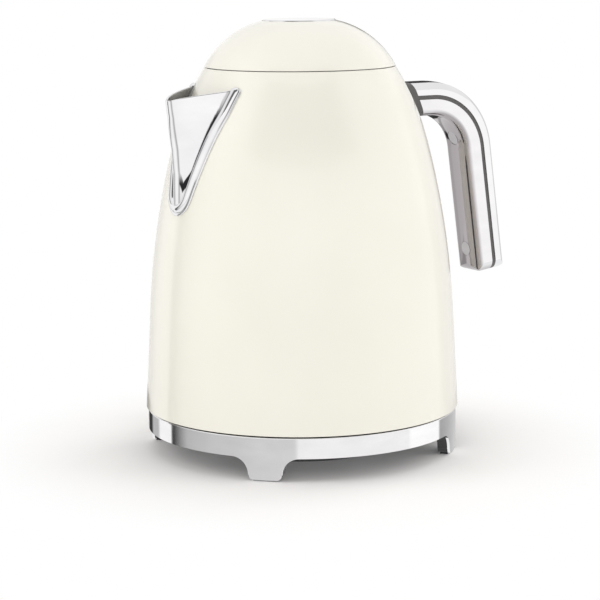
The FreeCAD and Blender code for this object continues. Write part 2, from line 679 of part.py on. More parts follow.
# Base ring with its four feet
def foot_prism(label, angle):
    half = dim.foot_half
    wide = half + dim.foot_draft
    flared = wide + dim.foot_flare
    low = dim.foot_clear
    corner = dim.foot_corner
    corner_mid = corner * DIAGONAL
    flare_z = dim.ring_bottom_z - dim.foot_flare
    flare_mid = dim.foot_flare * DIAGONAL
    top = dim.ring_bottom_z + dim.foot_rise
    inner = half - corner
    corners = [
        (-inner, low, -inner - corner_mid, low + corner - corner_mid),
        (inner, low),
        (half, low + corner, inner + corner_mid, low + corner - corner_mid),
        (wide, flare_z),
        (flared, dim.ring_bottom_z, flared - flare_mid, flare_z + flare_mid),
        (flared, top),
        (-flared, top),
        (-flared, dim.ring_bottom_z),
        (-wide, flare_z, flare_mid - flared, flare_z + flare_mid),
        (-half, low + corner),
    ]
    body = padded(label, "XZ_Plane", corners, -dim.ring_r - NEAR, dim.ring_r + NEAR)
    body.Placement = Placement(Vector(0, 0, 0), Rotation(Vector(0, 0, 1), angle))
    return body


ring_in = dim.ring_r - dim.ring_wall
edge = dim.ring_edge_r
ring_shell = turned("ring_shell", [
    (ring_in, dim.foot_clear),
    (dim.ring_r, dim.foot_clear),
    (dim.ring_r, dim.ring_top_z - edge),
    (dim.ring_r - edge, dim.ring_top_z,
     dim.ring_r - edge + edge * DIAGONAL, dim.ring_top_z - edge + edge * DIAGONAL),
    (ring_in, dim.ring_top_z),
])
ring_disc = rod("ring_disc", dim.ring_r + NEAR, "z", (0, 0, dim.ring_bottom_z),
                dim.ring_top_z - dim.ring_bottom_z + NEAR)
feet = fuse("feet", foot_prism("feet_one_way", 45), foot_prism("feet_other_way", 135))
base_ring = common("base_ring", ring_shell, fuse("ring_and_feet", ring_disc, feet))
keep(base_ring)

# Base tray with the blocks behind the feet
tray_r = ring_in - dim.seat_gap
ledge_r = tray_r - dim.foot_depth
tray_low_z = dim.tray_top_z - dim.tray_sheet
tray_skirt_r = tray_r - dim.base_cover_sheet
ledge_z = dim.ring_bottom_z + dim.tray_ledge
tray_disc = turned("tray_disc", [
    (dim.tray_hole_r, tray_low_z),
    (tray_skirt_r, tray_low_z),
    (tray_skirt_r, ledge_z),
    (ledge_r, ledge_z),
    (ledge_r, dim.ring_bottom_z),
    (tray_r, dim.ring_bottom_z),
    (tray_r, dim.tray_top_z),
    (dim.tray_hole_r, dim.tray_top_z),
])
block_ring = turned("block_ring", [
    (ledge_r, dim.pad_thick),
    (tray_r, dim.pad_thick),
    (tray_r, ledge_z),
    (ledge_r, ledge_z),
])
foot_blocks = common("foot_blocks", block_ring, feet)
base_cover_top_z = dim.ring_bottom_z + dim.base_cover_sheet
boss_r = dim.base_screw_r + dim.boss_wall
bosses = []
boss_holes = []
cover_holes = []
base_screws = []
for index in range(4):
    turn = math.radians(90 * index)
    x = dim.base_screw_place_r * math.cos(turn)
    y = dim.base_screw_place_r * math.sin(turn)
    number = index + 1
    bosses.append(rod("boss_%d" % number, boss_r, "z", (x, y, base_cover_top_z),
                      tray_low_z - base_cover_top_z + dim.skin_gap))
    boss_holes.append(rod("boss_hole_%d" % number, dim.base_screw_r + dim.skin_gap, "z",
                          (x, y, base_cover_top_z), tray_low_z - base_cover_top_z))
    cover_holes.append(rod("base_cover_hole_%d" % number, dim.base_screw_r + dim.seat_gap, "z",
                           (x, y, dim.ring_bottom_z), dim.base_cover_sheet))
    head = rod("base_screw_head_%d" % number, dim.base_screw_head_r, "z",
               (x, y, dim.ring_bottom_z - dim.base_screw_head), dim.base_screw_head)
    shank = rod("base_screw_shank_%d" % number, dim.base_screw_r, "z", (x, y, dim.ring_bottom_z),
                tray_low_z - dim.ring_bottom_z - dim.slide_gap)
    base_screws.append(fuse("base_screw_%d" % number, head, shank))
base_tray = cut("base_tray", fuse("tray_blank", tray_disc, foot_blocks, *bosses), *boss_holes)
keep(base_tray)
keep(group("base_screws", *base_screws))

# Rubber pads under the feet
for index in range(4):
    turn = 45 + 90 * index
    pad = doc.addObject("Part::Box", "foot_pad_%d" % (index + 1))
    pad_depth = dim.foot_depth - dim.pad_margin * 2
    pad_r = ledge_r + dim.pad_margin
    pad.setExpression("Length", pad_depth.text)
    pad.setExpression("Width", (dim.pad_half * 2).text)
    pad.setExpression("Height", dim.pad_thick.text)
    pad.Placement = Placement(Vector(0, 0, 0), Rotation(Vector(0, 0, 1), turn))
    along = math.cos(math.radians(turn))
    across = math.sin(math.radians(turn))
    pad.setExpression("Placement.Base.x", (pad_r * along + dim.pad_half * across).text)
    pad.setExpression("Placement.Base.y", (pad_r * across - dim.pad_half * along).text)
    pad.Label = "foot_pad_%d" % (index + 1)
    keep(pad)

# Bottom cover of the base on its middle post, and the drum under it that stores the cord
cover_sheet = rod("cover_sheet", ledge_r - dim.seat_gap, "z", (0, 0, dim.ring_bottom_z), dim.base_cover_sheet)
cover_post = rod("cover_post", dim.post_r, "z", (0, 0, dim.pad_thick), base_cover_top_z - dim.pad_thick)
keep(cut("base_bottom_cover", fuse("base_cover_blank", cover_sheet, cover_post), *cover_holes))
keep(rod("centre_pad", dim.pad_half, "z", (0, 0, 0), dim.pad_thick))
drum_out = dim.drum_r + dim.drum_wall
drum_ring = turned("drum_ring", [
    (dim.drum_r, dim.ring_bottom_z),
    (dim.drum_r, dim.drum_floor_z),
    (dim.drum_flange_r, dim.drum_floor_z),
    (dim.drum_flange_r, dim.drum_floor_z + dim.drum_flange),
    (drum_out, dim.drum_floor_z + dim.drum_flange),
    (drum_out, dim.ring_bottom_z),
])
grommet_z = (dim.ring_bottom_z + dim.drum_floor_z + dim.drum_flange) / 2
grommet_hole = rod("grommet_hole", dim.grommet_r + dim.seat_gap, "x",
                   (dim.drum_r - dim.drum_wall, 0, grommet_z), dim.drum_wall * 3)
keep(cut("cord_drum", drum_ring, grommet_hole))

# Grommet where a cord would enter the drum
lip_r = dim.grommet_r + dim.grommet_lip / 2
lip_in_x = dim.drum_r - dim.skin_gap * 8
grommet_neck = rod("grommet_neck", dim.grommet_r, "x", (lip_in_x, 0, grommet_z), drum_out - lip_in_x)
lip_out = rod("grommet_lip_out", lip_r, "x", (drum_out + dim.skin_gap, 0, grommet_z), dim.grommet_lip)
neck_join = rod("grommet_join", dim.grommet_r, "x", (drum_out, 0, grommet_z), dim.grommet_lip)
lip_in = rod("grommet_lip_in", lip_r, "x", (lip_in_x - dim.grommet_lip, 0, grommet_z), dim.grommet_lip)
grommet_bore = rod("grommet_bore", dim.grommet_bore_r, "x", (lip_in_x - dim.grommet_lip, 0, grommet_z),
                   drum_out - lip_in_x + dim.grommet_lip * 3)
keep(cut("cord_grommet", fuse("grommet_blank", grommet_neck, lip_out, neck_join, lip_in), grommet_bore))

# Socket tower, its contacts and the turning bush
slot_out = dim.ring_slot_r + dim.ring_slot
socket_flange_z = base_cover_top_z + dim.socket_flange
keep(turned("base_socket", [
    (0, base_cover_top_z),
    (dim.socket_flange_r, base_cover_top_z),
    (dim.socket_flange_r, socket_flange_z),
    (dim.socket_r, socket_flange_z),
    (dim.socket_r, dim.socket_top_z),
    (slot_out, dim.socket_top_z),
    (slot_out, dim.ring_slot_floor_z),
    (dim.ring_slot_r, dim.ring_slot_floor_z),
    (dim.ring_slot_r, dim.socket_top_z),
    (dim.pin_hole_r, dim.socket_top_z),
    (dim.pin_hole_r, dim.pin_hole_floor_z),
    (0, dim.pin_hole_floor_z),
]))
ring_contact = turned("ring_contact", [
    (dim.ring_slot_r + dim.seat_gap, dim.ring_slot_floor_z),
    (slot_out - dim.seat_gap, dim.ring_slot_floor_z),
    (slot_out - dim.seat_gap, dim.ring_slot_floor_z + dim.contact_thick),
    (dim.ring_slot_r + dim.seat_gap, dim.ring_slot_floor_z + dim.contact_thick),
])
pin_contact = rod("pin_contact", dim.pin_hole_r - dim.seat_gap, "z", (0, 0, dim.pin_hole_floor_z),
                  dim.contact_thick)
keep(group("socket_contacts", ring_contact, pin_contact))
bush_in = dim.socket_r + dim.bush_gap
bush_out = bush_in + dim.bush_wall
keep(turned("swivel_bush", [
    (bush_in, socket_flange_z),
    (bush_out, socket_flange_z),
    (bush_out, dim.bush_top_z),
    (bush_in, dim.bush_top_z),
]))

# Bottom cover of the kettle with the standing rib and the ears of the switch
cover_top_z = dim.cover_z + dim.cover_sheet
rim_top_z = dim.cover_z + dim.cover_rim
cover_r = lower_inner_r(rim_top_z) - dim.seat_gap
neck_out = bush_out + dim.slide_gap + dim.housing_neck
cover_hole_r = neck_out + dim.seat_gap
rib_out = dim.rib_r + dim.rib_wide
cover_disc = turned("bottom_disc", [
    (dim.rib_r, dim.tray_top_z),
    (rib_out, dim.tray_top_z),
    (rib_out, dim.cover_z),
    (cover_r, dim.cover_z),
    (cover_r, rim_top_z),
    (cover_r - dim.cover_sheet, rim_top_z),
    (cover_r - dim.cover_sheet, cover_top_z),
    (cover_hole_r, cover_top_z),
    (cover_hole_r, dim.cover_z),
    (dim.rib_r, dim.cover_z),
])
ear_join = dim.cover_sheet / 2


def ears(label, x, z, half, pin_r):
    pair = []
    for side, low, high in (("left", -half - dim.ear_thick, -half), ("right", half, half + dim.ear_thick)):
        slab = box("%s_%s" % (label, side), (x - dim.ear_half, low, cover_top_z - ear_join),
                   (x + dim.ear_half, high, z + pin_r * 2))
        pair.append(slab)
    return pair


lever_side = dim.lever_half + dim.hinge_side_gap
rocker_side = dim.rocker_half + dim.hinge_side_gap
lever_ears = ears("lever_ear", dim.lever_x, dim.lever_z, lever_side, dim.lever_pin_r)
rocker_ears = ears("rocker_ear", dim.rocker_x, dim.rocker_z, rocker_side, dim.rocker_pin_r)
lever_pin_half = lever_side + dim.ear_thick
rocker_pin_half = rocker_side + dim.ear_thick
lever_pin_hole = rod("lever_pin_hole", dim.lever_pin_r + dim.skin_gap / 2, "y",
                     (dim.lever_x, -lever_pin_half, dim.lever_z), lever_pin_half * 2)
rocker_pin_hole = rod("rocker_pin_hole", dim.rocker_pin_r + dim.skin_gap / 2, "y",
                      (dim.rocker_x, -rocker_pin_half, dim.rocker_z), rocker_pin_half * 2)
rim_notch = box("rim_notch", (cover_r - NEAR, -dim.switch_slot_half, cover_top_z),
                (cover_r + NEAR, dim.switch_slot_half, rim_top_z + 1))
cover_screws = []
cover_screw_holes = []
pillars = []
pillar_holes = []
for index in range(3):
    turn = math.radians(60 + 120 * index)
    x = dim.cover_screw_place_r * math.cos(turn)
    y = dim.cover_screw_place_r * math.sin(turn)
    number = index + 1
    cover_screw_holes.append(rod("cover_screw_hole_%d" % number, dim.cover_screw_r + dim.seat_gap, "z",
                                 (x, y, dim.cover_z), dim.cover_sheet))
    pillars.append(rod("pillar_%d" % number, dim.pillar_r, "z", (x, y, cover_top_z),
                       dim.plate_z - cover_top_z))
    pillar_holes.append(rod("pillar_hole_%d" % number, dim.cover_screw_r + dim.skin_gap, "z",
                            (x, y, cover_top_z), (dim.plate_z - cover_top_z) / 2))
    head = rod("cover_screw_head_%d" % number, dim.cover_screw_head_r, "z",
               (x, y, dim.cover_z - dim.cover_screw_head), dim.cover_screw_head)
    shank = rod("cover_screw_shank_%d" % number, dim.cover_screw_r, "z", (x, y, dim.cover_z),
                (dim.plate_z - cover_top_z) / 2)
    cover_screws.append(fuse("cover_screw_%d" % number, head, shank))
cover_blank = fuse("bottom_blank", cover_disc, *lever_ears, *rocker_ears)
keep(cut("bottom_cover", cover_blank, lever_pin_hole, rocker_pin_hole, rim_notch, *cover_screw_holes))
keep(group("bottom_screws", *cover_screws))
keep(rod("switch_pin", dim.lever_pin_r, "y", (dim.lever_x, -lever_pin_half, dim.lever_z),
         lever_pin_half * 2))
keep(rod("rocker_pin", dim.rocker_pin_r, "y", (dim.rocker_x, -rocker_pin_half, dim.rocker_z),
         rocker_pin_half * 2))

# Control housing over the plug, with the plug's pins and the bimetal discs
recess_r = bush_out + dim.slide_gap
spreader_z = dim.plate_z - dim.spreader_thick
housing_top_z = spreader_z - dim.disc_thick - dim.skin_gap * 2
keep(turned("control_housing", [
    (recess_r, dim.cover_z),
    (neck_out, dim.cover_z),
    (neck_out, cover_top_z),
    (dim.housing_flange_r, cover_top_z),
    (dim.housing_flange_r, cover_top_z + dim.housing_flange),
    (dim.housing_r, cover_top_z + dim.housing_flange),
    (dim.housing_r, housing_top_z),
    (0, housing_top_z),
    (0, dim.recess_roof_z),
    (recess_r, dim.recess_roof_z),
]))
blade_in = dim.ring_slot_r + (dim.ring_slot - dim.blade_thick) / 2
blade_low_z = dim.ring_slot_floor_z + dim.contact_thick + dim.slide_gap
blade = turned("ring_blade", [
    (blade_in, blade_low_z),
    (blade_in + dim.blade_thick, blade_low_z),
    (blade_in + dim.blade_thick, dim.recess_roof_z),
    (blade_in, dim.recess_roof_z),
])
pin_low_z = dim.pin_hole_floor_z + dim.contact_thick + dim.slide_gap
centre_pin = rod("centre_pin", dim.pin_hole_r - dim.slide_gap, "z", (0, 0, pin_low_z),
                 dim.recess_roof_z - pin_low_z)
keep(group("connector_pins", blade, centre_pin))
discs = []
for name, side in (("left", -1), ("right", 1)):
    discs.append(rod("bimetal_disc_" + name, dim.disc_r, "z", (0, dim.disc_place * side, housing_top_z),
                     dim.disc_thick))
keep(group("bimetal_discs", *discs))

# Heater plate, its seal, the heat spreader and the element
plate_r = lower_inner_r(dim.plate_z + dim.plate_rim) - dim.plate_seal_wall - dim.seat_gap * 2
steam_place = (dim.steam_x, dim.steam_y)
plate_disc = turned("plate_disc", [
    (0, dim.plate_z),
    (plate_r, dim.plate_z),
    (plate_r, dim.plate_z + dim.plate_rim),
    (plate_r - dim.plate_sheet, dim.plate_z + dim.plate_rim),
    (plate_r - dim.plate_sheet, dim.plate_z + dim.plate_sheet),
    (0, dim.plate_z + dim.plate_sheet),
])
plate_hole = rod("plate_hole", dim.steam_r + dim.seat_gap, "z", (*steam_place, dim.plate_z),
                 dim.plate_sheet)
plate_blank = fuse("plate_blank", plate_disc, *pillars)
keep(cut("heater_plate", plate_blank, plate_hole, *pillar_holes))
seal_r = plate_r + dim.seat_gap
keep(turned("plate_seal", [
    (seal_r, dim.plate_z),
    (seal_r + dim.plate_seal_wall, dim.plate_z),
    (seal_r + dim.plate_seal_wall, dim.plate_z + dim.plate_rim),
    (seal_r, dim.plate_z + dim.plate_rim),
]))
keep(rod("heat_spreader", dim.spreader_r, "z", (0, 0, spreader_z), dim.spreader_thick))
element_z = spreader_z - dim.element_tube_r - dim.skin_gap
loop = doc.addObject("Part::Torus", "element_loop")
loop.setExpression("Radius1", dim.element_r.text)
loop.setExpression("Radius2", dim.element_tube_r.text)
loop.setExpression("Angle3", (360 - dim.element_gap).text)
loop.Placement = Placement(Vector(0, 0, 0), Rotation(Vector(0, 0, 1), 180))
loop.setExpression("Placement.Rotation.Angle", (180 + dim.element_gap / 2).text)
loop.setExpression("Placement.Base.z", element_z.text)
terminals = []
terminal_x = -dim.element_r * cosine(dim.element_gap / 2)
for name, side in (("left", -1), ("right", 1)):
    terminal_y = dim.element_r * sine(dim.element_gap / 2) * side
    terminals.append(rod("terminal_" + name, dim.terminal_r, "x", (terminal_x, terminal_y, element_z),
                         dim.terminal_long))
keep(fuse("heating_element", loop, *terminals))

# Steam tube and its seal
steam_blank = rod("steam_blank", dim.steam_r, "z", (*steam_place, dim.steam_foot_z),
                  dim.steam_top_z - dim.steam_foot_z)
steam_bore = rod("steam_bore", dim.steam_bore_r, "z", (*steam_place, dim.steam_foot_z),
                 dim.steam_top_z - dim.steam_foot_z)
keep(cut("steam_tube", steam_blank, steam_bore))
plate_top_z = dim.plate_z + dim.plate_sheet
seal_blank = rod("steam_seal_blank", dim.steam_seal_r, "z", (*steam_place, plate_top_z), dim.steam_seal)
seal_bore = rod("steam_seal_bore", dim.steam_r + dim.skin_gap, "z", (*steam_place, plate_top_z),
                dim.steam_seal)
keep(cut("steam_tube_seal", seal_blank, seal_bore))

# Switch lever and the rocker it lifts
blade_low = dim.lever_z - dim.lever_blade
blade_high = dim.lever_z + dim.lever_blade
lever_blade = padded("lever_blade", "XZ_Plane", [
    (dim.lever_x, blade_low),
    (dim.lever_tip_x - dim.lever_blade, blade_low),
    (dim.lever_tip_x - dim.lever_blade, blade_high, dim.lever_tip_x, dim.lever_z),
    (dim.lever_x, blade_high),
], -dim.lever_half, dim.lever_half)
lever_hub = rod("lever_hub", dim.lever_hub_r, "y", (dim.lever_x, -dim.lever_half, dim.lever_z),
                dim.lever_half * 2)
lever_arm = box("lever_arm", (dim.lever_arm_x, -dim.lever_arm_half, dim.lever_z - dim.lever_arm),
                (dim.lever_x, dim.lever_arm_half, dim.lever_z + dim.lever_arm))
lever_bore = rod("lever_bore", dim.lever_pin_r + dim.run_gap, "y",
                 (dim.lever_x, -dim.lever_half, dim.lever_z), dim.lever_half * 2)
keep(cut("switch_lever", fuse("lever_blank", lever_blade, lever_hub, lever_arm), lever_bore))
arm_low_z = dim.lever_z + dim.lever_arm + dim.slide_gap
rocker_hub = rod("rocker_hub", dim.rocker_hub_r, "y", (dim.rocker_x, -dim.rocker_half, dim.rocker_z),
                 dim.rocker_half * 2)
rocker_arm = box("rocker_arm", (dim.rocker_x, -dim.lever_arm_half, arm_low_z),
                 (dim.rocker_tip_x, dim.lever_arm_half, arm_low_z + dim.rocker_arm))
rocker_bore = rod("rocker_bore", dim.rocker_pin_r + dim.run_gap, "y",
                  (dim.rocker_x, -dim.rocker_half, dim.rocker_z), dim.rocker_half * 2)
keep(cut("contact_rocker", fuse("rocker_blank", rocker_hub, rocker_arm), rocker_bore))


# Openings through the vessel
def rear_prism(label, half, low, top):
    return box(label, (NEAR, -half, low), (FAR, half, top))


def pill_prism(label, half, low, top):
    corners = [
        (-half, low + half),
        (half, low + half, 0, low),
        (half, top - half),
        (-half, top - half, 0, top),
    ]
    return padded(label, "YZ_Plane", corners, NEAR, FAR)


def trapezoid_prism(label, low_half, low, top_half, top):
    corners = [(-low_half, low), (low_half, low), (top_half, top), (-top_half, top)]
    return padded(label, "YZ_Plane", corners, -FAR, -NEAR)


switch_hole = rear_prism("switch_hole", dim.switch_slot_half, dim.switch_slot_low_z, dim.switch_slot_top_z)
window_hole = pill_prism("window_hole", dim.window_half, dim.window_low_z, dim.window_top_z)
pouring_hole = trapezoid_prism("pouring_hole", dim.hole_low_half, dim.hole_low_z,
                               dim.hole_top_half, dim.hole_top_z)
hinge_x = dim.seam_r + dim.hinge_out
hinge_z = dim.seam_z + dim.hinge_up
ear_in = dim.lid_lug_half + dim.hinge_side_gap
ear_out = ear_in + dim.hinge_ear
hinge_notch = box("hinge_notch", (dim.mouth_r, -ear_out - dim.hinge_side_gap, dim.hinge_notch_z),
                  (FAR, ear_out + dim.hinge_side_gap, dim.seam_z + NEAR))
bolt_holes = []
for name, side in (("left", -1), ("right", 1)):
    bolt_holes.append(rod("wall_bolt_hole_" + name, dim.bolt_r + dim.seat_gap, "x",
                          (dim.bracket_x, dim.bolt_place * side, dim.handle_z), FAR - dim.bracket_x))
vessel_sheet = cut("vessel_sheet", vessel_solid(0), vessel_solid(dim.wall))
keep(cut("kettle_body", vessel_sheet, switch_hole, window_hole, pouring_hole, hinge_notch, *bolt_holes))

# Bezel of the switch
bezel_edge = dim.bezel_edge
bezel_outer = rear_prism("bezel_outer", dim.switch_slot_half + bezel_edge,
                         dim.switch_slot_low_z - bezel_edge, dim.switch_slot_top_z + bezel_edge)
bezel_patch = patch("bezel_patch", -dim.bezel_proud, -dim.skin_gap, bezel_outer)
keep(cut("switch_bezel", bezel_patch, switch_hole))

# Water window, its frame and its gasket
edge = dim.window_edge
window_wide = pill_prism("window_wide", dim.window_half + edge, dim.window_low_z - edge,
                         dim.window_top_z + edge)
frame_patch = patch("frame_patch", -dim.window_proud, -dim.skin_gap, window_wide)
keep(cut("window_frame", frame_patch, window_hole))
gasket_out = dim.wall + dim.skin_gap
gasket_in = gasket_out + dim.gasket_thick
gasket_patch = patch("gasket_patch", gasket_out, gasket_in, window_wide)
keep(cut("window_gasket", gasket_patch, window_hole))
flange_out = gasket_in + dim.skin_gap
flange_in = flange_out + dim.window_flange
pane_prism = pill_prism("pane_prism", dim.window_half - dim.seat_gap, dim.window_low_z + dim.seat_gap,
                        dim.window_top_z - dim.seat_gap)
pane = patch("window_pane", -dim.skin_gap, flange_in, pane_prism)
pane_flange = patch("pane_flange", flange_out, flange_in, window_wide)
keep(fuse("level_window", pane, pane_flange))

# Spout, drawn through five level outlines
station_radii = [
    radius_at("radius_1", dim.station_1_z, 1),
    radius_at("radius_2", dim.station_2_z, 1),
    radius_at("radius_3", dim.station_3_z, 2),
    radius_at("radius_4", dim.station_4_z, 2),
    radius_at("radius_5", dim.station_5_z, 2),
]


def spout_solid(label, inset):
    outlines = []
    for number, vessel_r in enumerate(station_radii, start=1):
        height = getattr(dim, "station_%d_z" % number)
        reach = getattr(dim, "station_%d_reach" % number)
        angle = getattr(dim, "station_%d_angle" % number)
        side = getattr(dim, "station_%d_side" % number)
        centre_x = dim.nose_r - vessel_r - reach
        nose_r = dim.nose_r - inset
        touch_x = centre_x - nose_r * sine(angle)
        touch_y = nose_r * cosine(angle)
        end_x = touch_x + side * cosine(angle)
        end_y = touch_y + side * sine(angle)
        sketch = doc.addObject("Sketcher::SketchObject", "%s_outline_%d" % (label, number))
        draw(sketch, [
            (end_x, -end_y),
            (end_x + dim.nose_r, 0),
            (end_x, end_y),
            (touch_x, touch_y),
            (touch_x, -touch_y, centre_x - nose_r, 0),
        ])
        sketch.setExpression("Placement.Base.z", height.text)
        outlines.append(sketch)
    loft = doc.addObject("Part::Loft", label)
    loft.Sections = outlines
    loft.Solid = True
    loft.Ruled = False
    return loft


spout_outside = spout_solid("spout_outside", as_size(0))
spout_inside = spout_solid("spout_inside", dim.spout_wall)
tip_x = -station_radii[4] - dim.station_5_reach
lip_slope = (dim.lip_back_z - dim.lip_tip_z) / (-dim.seam_r - tip_x)
lip_far_z = dim.lip_tip_z - lip_slope * NEAR
lip_near_z = dim.lip_back_z + lip_slope * NEAR
above_lip = padded("above_lip", "XZ_Plane", [
    (tip_x - NEAR, lip_far_z),
    (NEAR - dim.seam_r, lip_near_z),
    (NEAR - dim.seam_r, dim.seam_z + NEAR),
    (tip_x - NEAR, dim.seam_z + NEAR),
], -FAR, FAR)
spout_shell = cut("spout_shell", spout_outside, spout_inside)
vessel_touch = vessel_solid(-dim.skin_gap)
keep(cut("spout", spout_shell, vessel_touch, above_lip))

# Raised trim round the spout
wide = dim.trim_wide
trim_in_turn = dim.trim_turn_half - wide * DIAGONAL
trim_in_turn_z = dim.trim_turn_z + wide * DIAGONAL * DIAGONAL
trim_prism = padded("trim_prism", "YZ_Plane", [
    (-dim.trim_turn_half, dim.trim_turn_z),
    (dim.trim_turn_half, dim.trim_turn_z, 0, dim.trim_apex_z),
    (dim.trim_high_half, dim.trim_high_z),
    (dim.trim_top_half, dim.trim_top_z),
    (dim.trim_top_half - wide, dim.trim_top_z),
    (dim.trim_high_half - wide, dim.trim_high_z),
    (trim_in_turn, trim_in_turn_z),
    (-trim_in_turn, trim_in_turn_z, 0, dim.trim_inner_apex_z),
    (wide - dim.trim_high_half, dim.trim_high_z),
    (wide - dim.trim_top_half, dim.trim_top_z),
    (-dim.trim_top_half, dim.trim_top_z),
    (-dim.trim_high_half, dim.trim_high_z),
], -FAR, -NEAR)
trim_patch = patch("trim_patch", -dim.trim_proud, -dim.skin_gap, trim_prism)
keep(cut("spout_trim", trim_patch, spout_outside))

# Filter behind the pouring hole
more = dim.filter_edge
less = dim.filter_bar
filter_out = dim.wall + dim.filter_gap
filter_in = filter_out + dim.filter_frame_thick
filter_wide = trapezoid_prism("filter_wide", dim.hole_low_half + more, dim.hole_low_z - more,
                              dim.hole_top_half + more, dim.hole_top_z + more)
filter_window = trapezoid_prism("filter_window", dim.hole_low_half - less, dim.hole_low_z + less,
                                dim.hole_top_half - less, dim.hole_top_z - less)
filter_patch = patch("filter_patch", filter_out, filter_in, filter_wide)
keep(cut("filter_frame", filter_patch, filter_window))
tight = less + dim.seat_gap
mesh_prism = trapezoid_prism("mesh_prism", dim.hole_low_half - tight, dim.hole_low_z + tight,
                             dim.hole_top_half - tight, dim.hole_top_z - tight)
mesh_out = filter_out + (dim.filter_frame_thick - dim.mesh_thick) / 2
keep(patch("filter_mesh", mesh_out, mesh_out + dim.mesh_thick, mesh_prism))


# Handle: two shells and a core follow one centre line
def handle_sweep(label, corners):
    body = new_body(label)
    path = sketch_in(body, "XZ_Plane", label + "_path")
    lean = math.radians(dim.lean.number)
    centre = Vector(dim.bend_x.number, dim.handle_z.number - dim.bend_r.number, 0)
    arc_low_z = dim.handle_z - dim.bend_r + dim.bend_r * sine(dim.lean)
    arc_low_x = dim.bend_x + dim.bend_r * cosine(dim.lean)
    end_x = arc_low_x + (arc_low_z - dim.handle_end_z) * tangent(dim.lean)
    root = (dim.handle_root_x, dim.handle_z)
    bend = (dim.bend_x, dim.handle_z)
    end = (end_x, dim.handle_end_z)
    circle = Part.Circle(centre, Vector(0, 0, 1), dim.bend_r.number)
    path.addGeometry(Part.LineSegment(flat(*root), flat(*bend)), False)
    path.addGeometry(Part.ArcOfCircle(circle, lean, math.pi / 2), False)
    path.addGeometry(Part.LineSegment(flat(arc_low_x, arc_low_z), flat(*end)), False)
    tie(path, 0, 1, *root)
    tie(path, 0, 2, *bend)
    path.addConstraint(Sketcher.Constraint("Tangent", 0, 2, 1, 2))
    path.addConstraint(Sketcher.Constraint("Tangent", 1, 1, 2, 1))
    place = path.addConstraint(Sketcher.Constraint("Radius", 1, dim.bend_r.number))
    path.renameConstraint(place, "bend")
    path.setExpression("Constraints.bend", dim.bend_r.text)
    tie(path, 2, 2, *end)
    section = sketch_in(body, "YZ_Plane", label + "_section")
    draw(section, [(corner[0], dim.handle_z + corner[1]) if len(corner) == 2 else
                   (corner[0], dim.handle_z + corner[1], corner[2], dim.handle_z + corner[3])
                   for corner in corners])
    section.setExpression("AttachmentOffset.Base.z", dim.handle_root_x.text)
    pipe = body.newObject("PartDesign::AdditivePipe", label + "_pipe")
    pipe.Profile = section
    pipe.Spine = (path, ["Edge1", "Edge2", "Edge3"])
    return body


def bulge(sign, depth):
    corner = dim.handle_corner
    inner = dim.handle_half - corner
    knee = depth - dim.handle_crown - corner
    shoulder = depth - dim.handle_crown
    mid_across = inner + corner * DIAGONAL
    mid_up = knee + corner * DIAGONAL
    return [
        (-dim.handle_half * sign, knee * sign),
        (-inner * sign, shoulder * sign, -mid_across * sign, mid_up * sign),
        (inner * sign, shoulder * sign, 0, depth * sign),
        (dim.handle_half * sign, knee * sign, mid_across * sign, mid_up * sign),
    ]


outer_bulge = bulge(1, dim.handle_outer)
inner_bulge = bulge(-1, dim.handle_inner)
half = dim.handle_half
outer_sweep = handle_sweep("outer_sweep", [(-half, dim.core_up)] + outer_bulge + [(half, dim.core_up)])
inner_sweep = handle_sweep("inner_sweep", [(half, -dim.core_down)] + inner_bulge + [(-half, -dim.core_down)])
core_half = half - dim.core_inset
core_up = dim.core_up - dim.skin_gap
core_down = dim.core_down - dim.skin_gap
core_sweep = handle_sweep("core_sweep", [
    (-core_half, -core_down),
    (core_half, -core_down),
    (core_half, core_up),
    (-core_half, core_up),
])

# Blank that rounds off the handle's free end
arc_low_z = dim.handle_z - dim.bend_r + dim.bend_r * sine(dim.lean)
arc_low_x = dim.bend_x + dim.bend_r * cosine(dim.lean)
handle_end_x = arc_low_x + (arc_low_z - dim.handle_end_z) * tangent(dim.lean)


def end_prism(label, plane, low, high, rounding, near, far):
    mid = rounding - rounding * DIAGONAL
    body = padded(label, plane, [
        (low, rounding),
        (low + rounding, 0, low + mid, mid),
        (high - rounding, 0),
        (high, rounding, high - mid, mid),
        (high + FAR, rounding),
        (high + FAR, dim.handle_z),
        (low - FAR, dim.handle_z),
        (low - FAR, rounding),
    ], near, far)
    body.Placement = Placement(Vector(0, 0, 0), Rotation(Vector(0, -1, 0), dim.lean.number))
    body.setExpression("Placement.Rotation.Angle", dim.lean.text)
    body.setExpression("Placement.Base.x", handle_end_x.text)
    body.setExpression("Placement.Base.z", dim.handle_end_z.text)
    return body


end_side = end_prism("end_side", "XZ_Plane", -dim.handle_inner, dim.handle_outer, dim.handle_end_r,
                     -FAR, FAR)
end_front = end_prism("end_front", "YZ_Plane", -half, half, dim.handle_end_turn, -FAR, FAR)
end_blank = common("end_blank", end_side, end_front)
outer_rounded = common("outer_rounded", outer_sweep, end_blank)
inner_rounded = common("inner_rounded", inner_sweep, end_blank)
core_rounded = common("core_rounded", core_sweep, end_blank)

# Collar where the handle meets the vessel, made in one with the core
collar_prism = padded("collar_prism", "YZ_Plane", [
    (corner[0], dim.handle_z + corner[1]) if len(corner) == 2 else
    (corner[0], dim.handle_z + corner[1], corner[2], dim.handle_z + corner[3])
    for corner in outer_bulge + inner_bulge
], dim.handle_root_x, dim.bend_x + NEAR)
collar_block = patch("collar_block", -dim.collar_long, -dim.skin_gap, collar_prism)
core_free = cut("core_free", core_rounded, vessel_solid(-dim.collar_long / 2))
core_blank = fuse("core_blank", collar_block, core_free)
shell_start = vessel_solid(-dim.collar_long - dim.skin_gap)
outer_free = cut("outer_free", outer_rounded, shell_start)
inner_free = cut("inner_free", inner_rounded, shell_start)

